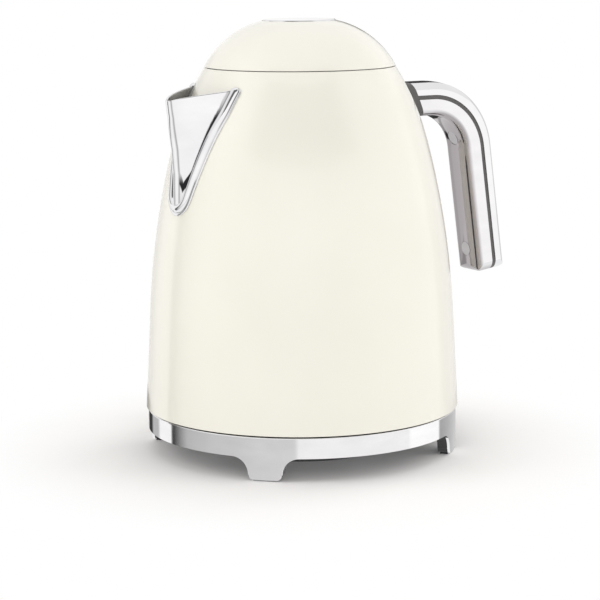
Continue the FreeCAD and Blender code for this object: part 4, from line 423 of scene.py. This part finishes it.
# %% [markdown]
# ## Enamel
# The vessel and the lid are sprayed with enamel and baked. A plain glossy colour would look like plastic.
# The spray's faint orange peel and a clear coat over it give the deep gloss of the real one.


# %% Enamel
def enamel(name, dark, light):
    """Sprayed and baked enamel: a deep gloss over colour, with the faint orange peel of the spray."""
    finish, made, links, shader, where = start_finish(name)
    clouds = noise(made, links, where, scale=14.0, detail=2.0)
    links.new(tinted(made, links, clouds, dark, light), shader.inputs["Base Color"])
    haze = noise(made, links, where, scale=60.0)
    links.new(between(made, links, haze, low=0.20, high=0.27), shader.inputs["Roughness"])
    peel = noise(made, links, where, scale=420.0, detail=2.0)
    roughened(made, links, shader, peel, strength=0.05, depth=0.0002)
    shader.inputs["Coat Weight"].default_value = 0.7
    shader.inputs["Coat Roughness"].default_value = 0.05
    shader.inputs["IOR"].default_value = 1.5
    return finish


# %% [markdown]
# ## Metals
# Polished steel is a mirror with faint wiping marks, and brushed metal has fine lines. Anisotropy could give
# the brush, but noise that is drawn out along it needs no map. Two polished steels get painted shade and
# reflection: in the folds of the spout and trim, by the mesh's own attribute, and on the handle's inner side,
# by the surface's normal.

# %% Polished metal
WIPE_STRETCH = (1.0, 1.0, 2.5)
# Near black of the painted shade and reflection in the spout's and the trim's creases.
PAINTED_SHADE_TONE = (0.022, 0.022, 0.024)
# Tone, direction and range of the painted shade and reflection on the handle's inner side.
INWARD_SHADE_TONE = (0.40, 0.375, 0.385)
INWARD_SHADE_TOWARD = (-0.7, 0.0, -0.7)
INWARD_SHADE_FROM, INWARD_SHADE_TO = 0.2, 0.6


def polished(name, dark, light, glossy, hazy):
    """Polished metal: a mirror with faint wiping marks that haze it here and there."""
    finish, made, links, shader, where = start_finish(name)
    shader.inputs["Metallic"].default_value = 1.0
    wipes = noise(made, links, stretched(made, links, where, WIPE_STRETCH), scale=35.0)
    links.new(tinted(made, links, wipes, dark, light), shader.inputs["Base Color"])
    links.new(between(made, links, wipes, glossy, hazy), shader.inputs["Roughness"])
    ripple = noise(made, links, where, scale=90.0, detail=1.0)
    roughened(made, links, shader, ripple, strength=0.04, depth=0.0002)
    return finish


def shaded(finish, factor, dark):
    """The finish with painted shade, its colour going to dark as the factor, a socket of its own nodes, goes
    from 0 to 1.
    """
    made, links = finish.node_tree.nodes, finish.node_tree.links
    base = next(node for node in made if node.type == "BSDF_PRINCIPLED").inputs["Base Color"]
    mix = made.new("ShaderNodeMix")
    mix.data_type = "RGBA"
    # A Mix node's colour sockets come after those for numbers and vectors.
    first, second, mixed = mix.inputs[6], mix.inputs[7], mix.outputs[2]
    second.default_value = (*dark, 1.0)
    links.new(factor, mix.inputs[0])
    links.new(base.links[0].from_socket, first)
    links.new(mixed, base)
    return finish


def shade_painted_polish(name, dark, light, glossy, hazy):
    """Polished metal painted near black, as shade and dark reflection, where the mesh's own shade attribute
    is 1.
    """
    finish = polished(name, dark, light, glossy, hazy)
    painted_shade = finish.node_tree.nodes.new("ShaderNodeAttribute")
    painted_shade.attribute_name = "painted_shade"
    return shaded(finish, painted_shade.outputs["Fac"], PAINTED_SHADE_TONE)


def inward_painted_shade(name, dark, light, glossy, hazy):
    """Polished metal with painted shade and dark reflection where its own normal points down or to the
    vessel, (-1, 0, -1).
    """
    finish = polished(name, dark, light, glossy, hazy)
    made, links = finish.node_tree.nodes, finish.node_tree.links
    where = made.new("ShaderNodeTexCoord")
    facing = made.new("ShaderNodeVectorMath")
    facing.operation = "DOT_PRODUCT"
    facing.inputs[1].default_value = INWARD_SHADE_TOWARD
    links.new(where.outputs["Normal"], facing.inputs[0])
    inward = made.new("ShaderNodeMapRange")
    inward.interpolation_type = "SMOOTHSTEP"
    inward.inputs["From Min"].default_value = INWARD_SHADE_FROM
    inward.inputs["From Max"].default_value = INWARD_SHADE_TO
    links.new(facing.outputs["Value"], inward.inputs["Value"])
    return shaded(finish, inward.outputs[0], INWARD_SHADE_TONE)


# %% Brushed metal
def brushed(name, dark, light, stretch, glossy, hazy):
    """Brushed metal: noise drawn out along the brush makes parallel lines in colour, gloss and height."""
    finish, made, links, shader, where = start_finish(name)
    shader.inputs["Metallic"].default_value = 1.0
    lines = noise(made, links, stretched(made, links, where, stretch), scale=60.0, detail=6.0)
    links.new(tinted(made, links, lines, dark, light), shader.inputs["Base Color"])
    links.new(between(made, links, lines, glossy, hazy), shader.inputs["Roughness"])
    roughened(made, links, shader, lines, strength=0.08, depth=0.0001)
    return finish


# %% [markdown]
# ## Plastics, window and wire cloth
# Moulded pieces show the fine grain of their mould, the water window is clear and tinted, and the filter is
# wire cloth. The wires could be thousands of thin tubes. Two sets of crossed waves look much the same through
# the spout, and cost far less.


# %% Plastics and rubber
def moulded(name, dark, light, glossy, rough, grain_scale, grain_depth):
    """Moulded plastic or rubber: the mould's fine grain, with slight clouds in the colour."""
    finish, made, links, shader, where = start_finish(name)
    clouds = noise(made, links, where, scale=45.0)
    links.new(tinted(made, links, clouds, dark, light), shader.inputs["Base Color"])
    grain = noise(made, links, where, grain_scale, detail=3.0)
    links.new(between(made, links, grain, glossy, rough), shader.inputs["Roughness"])
    roughened(made, links, shader, grain, strength=0.35, depth=grain_depth)
    return finish


# %% Window and wire cloth
WINDOW_DARK, WINDOW_LIGHT = (0.72, 0.80, 0.83), (0.80, 0.87, 0.89)
GAP_TONE, WIRE_TONE = (0.05, 0.05, 0.05), (0.62, 0.62, 0.61)
WIRE_SCALE = 180.0


def clear_window(name):
    """Clear tinted plastic with faint wiping marks."""
    finish, made, links, shader, where = start_finish(name)
    wipes = noise(made, links, where, scale=120.0)
    links.new(tinted(made, links, wipes, WINDOW_DARK, WINDOW_LIGHT), shader.inputs["Base Color"])
    links.new(between(made, links, wipes, low=0.04, high=0.12), shader.inputs["Roughness"])
    shader.inputs["Transmission Weight"].default_value = 0.85
    shader.inputs["IOR"].default_value = 1.49
    return finish


def woven_wire(name):
    """Fine wire cloth: two sets of waves, crossed, give the wires their height and darken the gaps."""
    finish, made, links, shader, where = start_finish(name)
    shader.inputs["Metallic"].default_value = 1.0
    heights = []
    for direction in ("Y", "Z"):
        wires = made.new("ShaderNodeTexWave")
        wires.bands_direction = direction
        wires.inputs["Scale"].default_value = WIRE_SCALE
        links.new(where, wires.inputs["Vector"])
        heights.append(wires.outputs["Fac"])
    higher = combined(made, links, "MAXIMUM", *heights)
    links.new(tinted(made, links, higher, GAP_TONE, WIRE_TONE), shader.inputs["Base Color"])
    links.new(between(made, links, higher, low=0.5, high=0.25), shader.inputs["Roughness"])
    roughened(made, links, shader, higher, strength=0.8, depth=0.0002)
    return finish


# %% [markdown]
# ## Dressing the solids
# Each solid could be given its material by hand. The record already says which finish each node takes, so one
# table from the record's slot names to the finishes dresses them all. Three nodes then differ from their
# slots: the filter's wire cloth, the handle's inner shell with painted shade and reflection on its inner
# side, and the duller caps of its screws.

# %% Finishes for the slots
STEEL = ((0.80, 0.80, 0.815), (0.86, 0.86, 0.87))
MIRROR = (0.035, 0.075)
GRAIN, SHALLOW_GRAIN = 0.0001, 0.00005
finishes = {
    "cream_paint": enamel("cream_enamel", (0.825, 0.81, 0.725), (0.85, 0.835, 0.75)),
    "polished_steel": polished("polished_steel", *STEEL, *MIRROR),
    "satin_steel": polished("ring_steel", (0.78, 0.78, 0.79), (0.85, 0.85, 0.855), 0.05, 0.09),
    "inner_steel": brushed(
        "inner_steel", (0.58, 0.58, 0.57), (0.70, 0.70, 0.69), (0.3, 0.3, 5.0), 0.22, 0.34),
    "dark_plastic": moulded(
        "dark_plastic", (0.085, 0.082, 0.082), (0.105, 0.101, 0.10), 0.42, 0.55, 1500.0, GRAIN),
    "black_plastic": moulded(
        "black_plastic", (0.016, 0.016, 0.017), (0.024, 0.024, 0.025), 0.45, 0.6, 1200.0, GRAIN),
    "pale_plastic": moulded(
        "pale_plastic", (0.62, 0.61, 0.56), (0.68, 0.67, 0.62), 0.32, 0.45, 1400.0, SHALLOW_GRAIN),
    "black_rubber": moulded(
        "black_rubber", (0.012, 0.012, 0.012), (0.02, 0.02, 0.02), 0.72, 0.9, 1800.0, GRAIN),
    "pale_silicone": moulded(
        "pale_silicone", (0.58, 0.57, 0.53), (0.66, 0.65, 0.61), 0.5, 0.62, 900.0, SHALLOW_GRAIN),
    "contact_brass": brushed(
        "contact_brass", (0.62, 0.45, 0.19), (0.74, 0.56, 0.26), (2.0, 2.0, 2.0), 0.18, 0.30),
    "aluminium_plate": brushed(
        "pressed_aluminium", (0.60, 0.60, 0.61), (0.70, 0.70, 0.71), (1.0, 1.0, 1.0), 0.3, 0.45),
    "spring_steel": brushed(
        "spring_steel", (0.42, 0.42, 0.42), (0.56, 0.56, 0.56), (4.0, 4.0, 4.0), 0.22, 0.36),
    "screw_steel": brushed(
        "plated_steel", (0.44, 0.44, 0.45), (0.56, 0.56, 0.57), (3.0, 3.0, 3.0), 0.25, 0.4),
    "clear_window": clear_window("clear_window"),
}
own_finishes = {
    "filter_mesh": woven_wire("wire_cloth"),
    # The grip's inner shell gets painted shade and reflection on the side towards the vessel.
    "handle_inner_shell": inward_painted_shade("grip_steel", (0.78, 0.775, 0.785), (0.84, 0.835, 0.845), *MIRROR),
    "handle_screw_caps": polished("cap_steel", (0.42, 0.405, 0.41), (0.48, 0.465, 0.47), 0.10, 0.16),
}
print("made", len(finishes) + len(own_finishes), "finishes")


# %% Finishes on the solids
def dress(piece, finish):
    """Puts one finish on a piece, in place of whatever it had."""
    piece.data.materials.clear()
    piece.data.materials.append(finish)


for entry in frame["record"]["subparts"]:
    dress(nodes[entry["node"]], finishes[entry["material_slot"]])
for node, finish in own_finishes.items():
    dress(nodes[node], finish)
print("dressed", len(nodes), "solids,", len(own_finishes), "of them apart from their slots")

# %% [markdown]
# ## The vessel's side line
# The trim and the spout lie on the vessel, so their makers need its radius at each height: a straight lean at
# the foot, one long arc, and a tighter arc that meets it smoothly and ends at the lid. The radius could be
# felt out with rays on the solid, but the formula is exact and takes whole arrays.

# %% Radius of the vessel at a height
FOOT_R, FOOT_Z = 90.8, 25.8
LEAN = np.radians(2.95)
WAIST_Z, WAIST_CURVE_R = 82.5, 480.0
SHOULDER_Z = 178.5
SEAM_R, SEAM_Z = 54.65, 221.2


def vessel_radius(height):
    """Millimetres: the lean's line up to the waist, then the centre's distance plus the arc's half chord."""
    waist_r = FOOT_R - (WAIST_Z - FOOT_Z) * np.tan(LEAN)
    waist_centre = np.array([waist_r, WAIST_Z]) - WAIST_CURVE_R * np.array([np.cos(LEAN), np.sin(LEAN)])
    turn = np.arcsin((SHOULDER_Z - waist_centre[1]) / WAIST_CURVE_R)
    inward = -np.array([np.cos(turn), np.sin(turn)])
    shoulder = waist_centre - inward * WAIST_CURVE_R
    span = np.array([SEAM_R, SEAM_Z]) - shoulder
    shoulder_curve_r = span @ span / (2 * inward @ span)
    shoulder_centre = shoulder + inward * shoulder_curve_r
    line = FOOT_R - (height - FOOT_Z) * np.tan(LEAN)
    long_arc = waist_centre[0] + np.sqrt(np.maximum(WAIST_CURVE_R**2 - (height - waist_centre[1])**2, 0))
    rise = height - shoulder_centre[1]
    tight_arc = shoulder_centre[0] + np.sqrt(np.maximum(shoulder_curve_r**2 - rise**2, 0))
    return np.where(height < WAIST_Z, line, np.where(height < SHOULDER_Z, long_arc, tight_arc))


print("vessel radius at the foot and the seam:", vessel_radius(np.array([FOOT_Z, SEAM_Z])))

# %% [markdown]
# ## From grids to meshes
# A new piece here is a grid of points in rows and columns. It could be drawn by hand and smoothed, but points
# from a formula follow the vessel exactly. These helpers turn a grid into a piece, close its ends and mark
# where shade and reflection are painted on it.

# %% Grids to meshes
SAME_POINT = 1e-7


def grid_piece(name, points, close_across=False):
    """A mesh from points[row, column]: four neighbours make a face; closing joins last column to first."""
    rows, columns = points.shape[:2]
    row, column = np.arange(rows - 1), np.arange(columns if close_across else columns - 1)
    row, column = (a.ravel() for a in np.meshgrid(row, column, indexing="ij"))
    next_row, next_column = row + 1, (column + 1) % columns
    cells = np.stack([row * columns + column, row * columns + next_column,
                      next_row * columns + next_column, next_row * columns + column], axis=1)
    mesh = bpy.data.meshes.new(name)
    mesh.from_pydata(points.reshape(-1, 3).tolist(), [], cells.tolist())
    mesh.polygons.foreach_set("use_smooth", np.ones(len(cells), bool))
    mesh.update()
    piece = bpy.data.objects.new(name, mesh)
    bpy.context.scene.collection.objects.link(piece)
    return piece


def close_poles(piece):
    """Merges points that lie on each other, as where a tube's end is drawn in to one point."""
    shape = bmesh.new()
    shape.from_mesh(piece.data)
    bmesh.ops.remove_doubles(shape, verts=shape.verts, dist=SAME_POINT)
    shape.to_mesh(piece.data)
    shape.free()


def mark_painted_shade(piece, painted_shade):
    """Writes one number from 0 to 1 for each point into the mesh's attribute of painted shade."""
    marks = piece.data.attributes.new("painted_shade", "FLOAT", "POINT")
    marks.data.foreach_set("value", np.ravel(painted_shade).astype(np.float32))


def smooth(low, high, value):
    """0 up to low, 1 from high on, and 3s^2 - 2s^3 between them; low may be the larger one."""
    s = np.clip((value - low) / (high - low), 0, 1)
    return s * s * (3 - 2 * s)


def show(piece, body, slot, finish, *replaced):
    """Dresses a new piece, lets it ride on its body and hides the solids that it stands for."""
    dress(piece, finish)
    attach(piece, body)
    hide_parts(*replaced)


# %% [markdown]
# ## Trim round the spout
# The real trim is a cast bead with a narrow flange outside it, and the line between the two catches the
# dark; here that dark line is painted shade and reflection. A bevelled curve would do, but it can't lean with
# the vessel. So a section of heights is carried along the V, standing on the vessel's own normal at each
# step.
# Sizes here are millimetres.

# %% The trim's path
TRIM_WIDE, TRIM_PROUD, TRIM_SEAT = 6.8, 2.4, 0.05
TRIM_TOP, TRIM_HIGH, TRIM_TURN = (28.0, 212.6), (26.6, 199.0), (11.4, 148.4)
TRIM_APEX_Z = 141.0
# The V's middle turns in from and above its outer edge by these shares of half the width.
TURN_IN, TURN_UP = 0.8, 0.45
BEND_STEPS, PATH_STEPS, EASING = 40, 360, 11


def trim_path():
    """Half widths and heights along the V's middle: two straights and a round foot, evened and smoothed."""
    half = TRIM_WIDE / 2
    turn = (TRIM_TURN[0] - half * TURN_IN, TRIM_TURN[1] + half * TURN_UP)
    apex_z = TRIM_APEX_Z + half
    sag = turn[1] - apex_z
    bend_r = (turn[0]**2 + sag**2) / (2 * sag)
    sweep = np.linspace(np.arcsin(turn[0] / bend_r), 0, BEND_STEPS)
    foot = np.stack([bend_r * np.sin(sweep), apex_z + bend_r * (1 - np.cos(sweep))], axis=1)
    straights = np.array([(TRIM_TOP[0] - half, TRIM_TOP[1]), (TRIM_HIGH[0] - half, TRIM_HIGH[1])])
    side = np.concatenate([straights, foot])
    whole = np.concatenate([side, side[-2::-1] * np.array([-1, 1])])
    run = np.concatenate([[0], np.cumsum(np.hypot(*np.diff(whole, axis=0).T))])
    even = np.linspace(0, run[-1], PATH_STEPS)
    path = np.stack([np.interp(even, run, whole[:, k]) for k in (0, 1)], axis=1)
    window = np.hanning(2 * EASING + 1)
    window /= window.sum()
    before = 2 * path[0] - path[EASING:0:-1]
    after = 2 * path[-1] - path[-2:-EASING - 2:-1]
    padded = np.concatenate([before, path, after])
    return np.stack([np.convolve(padded[:, k], window, "valid") for k in (0, 1)], axis=1)


print("the V's middle turns round at", round(trim_path()[:, 1].min(), 1), "mm")

# %% The trim's section and surface
FLANGE = [(-0.5, 0), (-0.5, 0.42), (-0.48, 0.6), (-0.43, 0.68), (-0.35, 0.68), (-0.30, 0.6), (-0.27, 0.45)]
BEAD_MIDDLE, BEAD_HALF, BEAD_FULLNESS = 0.125, 0.375, 0.85
BEAD_START, BEAD_STEPS = np.radians(166), 26
SLOPE_STEP = 0.05
END_SHARE = 0.018


def trim_section():
    """Shares of the width, inward, and heights, from the bead's inner foot to the flange's outer foot."""
    angle = np.linspace(BEAD_START, 0, BEAD_STEPS)
    share, height = BEAD_MIDDLE + BEAD_HALF * np.cos(angle), TRIM_PROUD * np.sin(angle)**BEAD_FULLNESS
    return np.concatenate([FLANGE, np.stack([share, height], axis=1)])[::-1]


def trim_points():
    """The section set across the path: path point plus share times the side plus height times the normal."""
    path, section = trim_path(), trim_section()
    y, z = path.T
    radius = vessel_radius(z)
    slope = (vessel_radius(z + SLOPE_STEP) - vessel_radius(z - SLOPE_STEP)) / (2 * SLOPE_STEP)
    x = -np.sqrt(radius**2 - y**2)
    middle = np.stack([x, y, z], axis=1)
    normal = np.stack([x / radius, y / radius, -slope], axis=1)
    normal /= np.linalg.norm(normal, axis=1, keepdims=True)
    along = np.gradient(middle, axis=0)
    side = np.cross(normal, along)
    side /= np.linalg.norm(side, axis=1, keepdims=True)
    share = np.linspace(0, 1, PATH_STEPS)
    end = np.minimum(share, 1 - share) / END_SHARE
    narrowing = np.sqrt(1 - (1 - np.clip(end, 0, 1))**2)[:, None, None]
    across = section[None, :, 0, None] * TRIM_WIDE * side[:, None] * narrowing
    lift = (TRIM_SEAT + section[None, :, 1, None] * narrowing) * normal[:, None]
    return (middle[:, None] + across + lift) * MM


trim_surface = trim_points()
print("trim of", trim_surface.shape[0], "sections with", trim_surface.shape[1], "points each")

# %% The trim
GROOVE_SHARE, GROOVE_HALF, GROOVE_STEEP = FLANGE[-1][0], 0.035, 4
# How dark the painted shade in the trim's groove is: everywhere, near the foot and near the top.
GROOVE_DARK, GROOVE_FOOT_DARK, GROOVE_TOP_DARK = 0.15, 0.8, 0.4
GROOVE_FOOT_END, GROOVE_FOOT_START, GROOVE_TOP = (164.0, 160.0), (143.5, 147.0), (187.0, 193.0)


def groove_painted_shade(points):
    """Painted shade and reflection in the groove between flange and bead: most near the foot, less near the
    top, little between.
    """
    share = trim_section()[:, 0]
    groove = np.exp(-((share - GROOVE_SHARE) / GROOVE_HALF)**GROOVE_STEEP)
    z = points[:, :, 2] / MM
    foot = GROOVE_FOOT_DARK * (smooth(*GROOVE_FOOT_END, z) * smooth(*GROOVE_FOOT_START, z))
    return groove * np.clip(GROOVE_DARK + foot + GROOVE_TOP_DARK * smooth(*GROOVE_TOP, z), 0, 1)


# Polished steel with painted shade and dark reflection where the mesh's shade attribute says.
shade_painted_steel = shade_painted_polish("shade_painted_steel", *STEEL, *MIRROR)
trim = grid_piece("spout_trim_bead", trim_surface, close_across=True)
mark_painted_shade(trim, groove_painted_shade(trim_surface))
close_poles(trim)
show(trim, "kettle", "polished_steel", shade_painted_steel, "spout_trim")
print("trim of", len(trim.data.polygons), "faces")

# %% [markdown]
# ## Spout
# The solid spout is a plain V. The pressed one has a narrow bead along its keel, a lip that swells outward,
# and a foot that runs down into the point of the trim. It could be sculpted, but one formula makes it: at
# each height the section goes from the keel to the trim, and how straight it goes changes towards the lip.

# %% The spout's surface
SPOUT_LOW_Z, LIP_TIP_Z, LIP_BACK_Z = 143.7, 205.4, 211.6
KEEL_HEIGHTS = [143.0, 150.0, 164.0, 178.0, 196.0, 207.6, 214.0]
KEEL_REACHES = [0.9, 2.0, 4.8, 9.2, 16.8, 23.2, 26.7]
KEEL_ROUND = 0.10
KEEL_BEAD, KEEL_BEAD_HALF, KEEL_BEAD_STEEP, KEEL_BEAD_RISE = 0.9, 2.6, 8, (0.0, 0.08)
LIP_SWELL, LIP_SWELL_RISE = 0.45, (0.55, 1.0)
ROOT_TUCK = 0.3
SPOUT_COLUMNS, SPOUT_ROWS, KEEL_CROWDING = 161, 120, 1.3


def spout_points():
    """x from the keel to the vessel with f(t)^p, where f(t) = (sqrt(t^2 + c^2) - c) / (sqrt(1 + c^2) - c)."""
    side = trim_path()[:PATH_STEPS // 2][::-1]
    bow = np.linspace(1, -1, SPOUT_COLUMNS)
    across = np.sign(bow) * np.abs(bow)**KEEL_CROWDING
    rise = np.linspace(0, 1, SPOUT_ROWS)[:, None]
    t = np.abs(across)[None, :]
    f = (np.sqrt(t**2 + KEEL_ROUND**2) - KEEL_ROUND) / (np.sqrt(1 + KEEL_ROUND**2) - KEEL_ROUND)
    lip_z = LIP_TIP_Z + (LIP_BACK_Z - LIP_TIP_Z) * f
    z = SPOUT_LOW_Z + (lip_z - SPOUT_LOW_Z) * rise
    half = np.interp(z, side[:, 1], side[:, 0])
    y = half * across[None, :]
    radius = vessel_radius(z)
    keel = -(radius + np.interp(z, KEEL_HEIGHTS, KEEL_REACHES))
    root = -np.sqrt(radius**2 - half**2) + ROOT_TUCK
    power = 1 + LIP_SWELL * smooth(*LIP_SWELL_RISE, rise)
    x = keel + (root - keel) * f**power
    x -= KEEL_BEAD * np.exp(-(y / KEEL_BEAD_HALF)**KEEL_BEAD_STEEP) * smooth(*KEEL_BEAD_RISE, rise)
    return np.stack([x, y, z], axis=2) * MM


spout_surface = spout_points()
print("spout's lip reaches", round(-spout_surface[:, :, 0].min() / MM, 1), "mm from the axis")

# %% The spout's painted shade and reflection
# Widths and strengths of the painted shade and reflection on the spout.
EDGE_LINE, FOOT_DARK, LINE_SOFT = 0.7, 2.3, 0.4
REACH_HEIGHTS, BEAD_REACHES = [168.0, 190.0, 205.0], [2.5, 2.3, 2.1]
FOOT_FADE, LIP_FADE, LIP_FADE_SHARE = (168.0, 159.0), (196.0, 206.0), 0.6
FOOT_TIP_Z, FOOT_RISE, FOOT_SOFT = 154.5, 4.5, 0.6
KEEL_EDGE, KEEL_LINE_DARK, KEEL_LINE_HALF = 2.9, 0.6, 0.35
KEEL_OVERLAP, LEAST_GAP = 0.2, 0.1
CROWN_SKIP = 3


def spout_painted_shade(points):
    """Painted shade and reflection along the trim's bead, in the corner above its foot, and faintly on both
    sides of the keel.
    """
    crown = trim_surface[::CROWN_SKIP, np.argmax(trim_section()[:, 1])]
    away = np.min(np.linalg.norm(points[:, :, None] - crown[None, None], axis=3), axis=2) / MM
    beside = np.abs(points[:, :, 1]) / MM - KEEL_EDGE
    z = points[:, :, 2] / MM
    low = smooth(*FOOT_FADE, z)
    past_bead = away - np.interp(z, REACH_HEIGHTS, BEAD_REACHES)
    edge_wide = EDGE_LINE + FOOT_DARK * low
    edge = 1 - smooth(edge_wide, edge_wide + LINE_SOFT, past_bead)
    edge *= 1 - LIP_FADE_SHARE * smooth(*LIP_FADE, z)
    corner = low * (1 - smooth(FOOT_DARK * low, FOOT_DARK * low + LINE_SOFT, beside)) * (beside > 0)
    between_both = np.clip(beside / np.maximum(beside + past_bead, LEAST_GAP), 0, 1)
    floor_z = FOOT_TIP_Z + FOOT_RISE * np.abs(2 * between_both - 1)
    above_floor = smooth(floor_z - FOOT_SOFT, floor_z + FOOT_SOFT, z) * (beside > -KEEL_OVERLAP)
    keel = KEEL_LINE_DARK * np.exp(-(beside / KEEL_LINE_HALF)**2)
    return np.maximum(np.maximum(edge, corner) * above_floor, keel)


# %% The spout's sheet
SPOUT_SHEET = 1.2
spout = grid_piece("spout_skin", spout_surface)
# The spout's sheet gets painted shade and reflection along the trim, above its foot and beside the keel.
mark_painted_shade(spout, spout_painted_shade(spout_surface))
sheet = spout.modifiers.new("sheet", "SOLIDIFY")
sheet.thickness = SPOUT_SHEET * MM
sheet.offset = -1.0
sheet.material_offset = 1
sheet.material_offset_rim = 0
show(spout, "kettle", "polished_steel", shade_painted_steel, "spout")
spout.data.materials.append(polished("spout_inside", (0.38, 0.38, 0.39), (0.46, 0.46, 0.47), 0.12, 0.2))
print("spout of", len(spout.data.polygons), "faces")

# %% [markdown]
# ## Coil springs in the lid
# Pressing the button shortens two coil springs inside the lid, and a solid can't do that. So each one is
# wound again inside its solid's box, as a wire carried along a helix. Scaling the object by hand would do at
# one pose only.

# %% Coil springs
WIRE_SIDES, STEPS_PER_TURN = 12, 36


def wound_points(low, high, axis, turns, wire_r):
    """Helix R(cos t, sin t) rising with t, plus the wire's circle on its inward normal and its binormal."""
    coil_r = (high - low)[(axis + 1) % 3] / 2 - wire_r
    rise = (high - low)[axis] - 2 * wire_r
    t = np.linspace(0, 2 * np.pi * turns, int(turns * STEPS_PER_TURN) + 1)
    t = np.concatenate([t[:1], t, t[-1:]])
    slope = rise / (2 * np.pi * turns)
    zero = np.zeros_like(t)
    line = np.stack([coil_r * np.cos(t), coil_r * np.sin(t), slope * t - rise / 2], axis=1)
    inward = np.stack([-np.cos(t), -np.sin(t), zero], axis=1)
    along = np.stack([-coil_r * np.sin(t), coil_r * np.cos(t), zero + slope], axis=1)
    across = np.cross(along / np.linalg.norm(along, axis=1, keepdims=True), inward)
    angle = np.linspace(0, 2 * np.pi, WIRE_SIDES, endpoint=False)[None, :, None]
    # The first and last rings are drawn in to a point, which closes the wire's ends.
    size = np.full(len(t), wire_r)
    size[[0, -1]] = 0
    ring = np.cos(angle) * inward[:, None] + np.sin(angle) * across[:, None]
    points = line[:, None] + size[:, None, None] * ring
    return np.roll(points, axis + 1, axis=2) + (low + high) / 2


def wind(node, axis, turns, wire_r):
    """A coil in the place of a node, wound inside the node's box."""
    low, high = (np.array(corner, float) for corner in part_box(node))
    points = wound_points(low, high, axis, turns, wire_r * MM)
    spring = grid_piece(node + "_coil", points, close_across=True)
    close_poles(spring)
    show(spring, "lid", "spring_steel", finishes["spring_steel"], node)
    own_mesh(spring)


wind("button_spring", axis=2, turns=5.0, wire_r=0.6)
wind("latch_spring", axis=0, turns=7.0, wire_r=0.3)
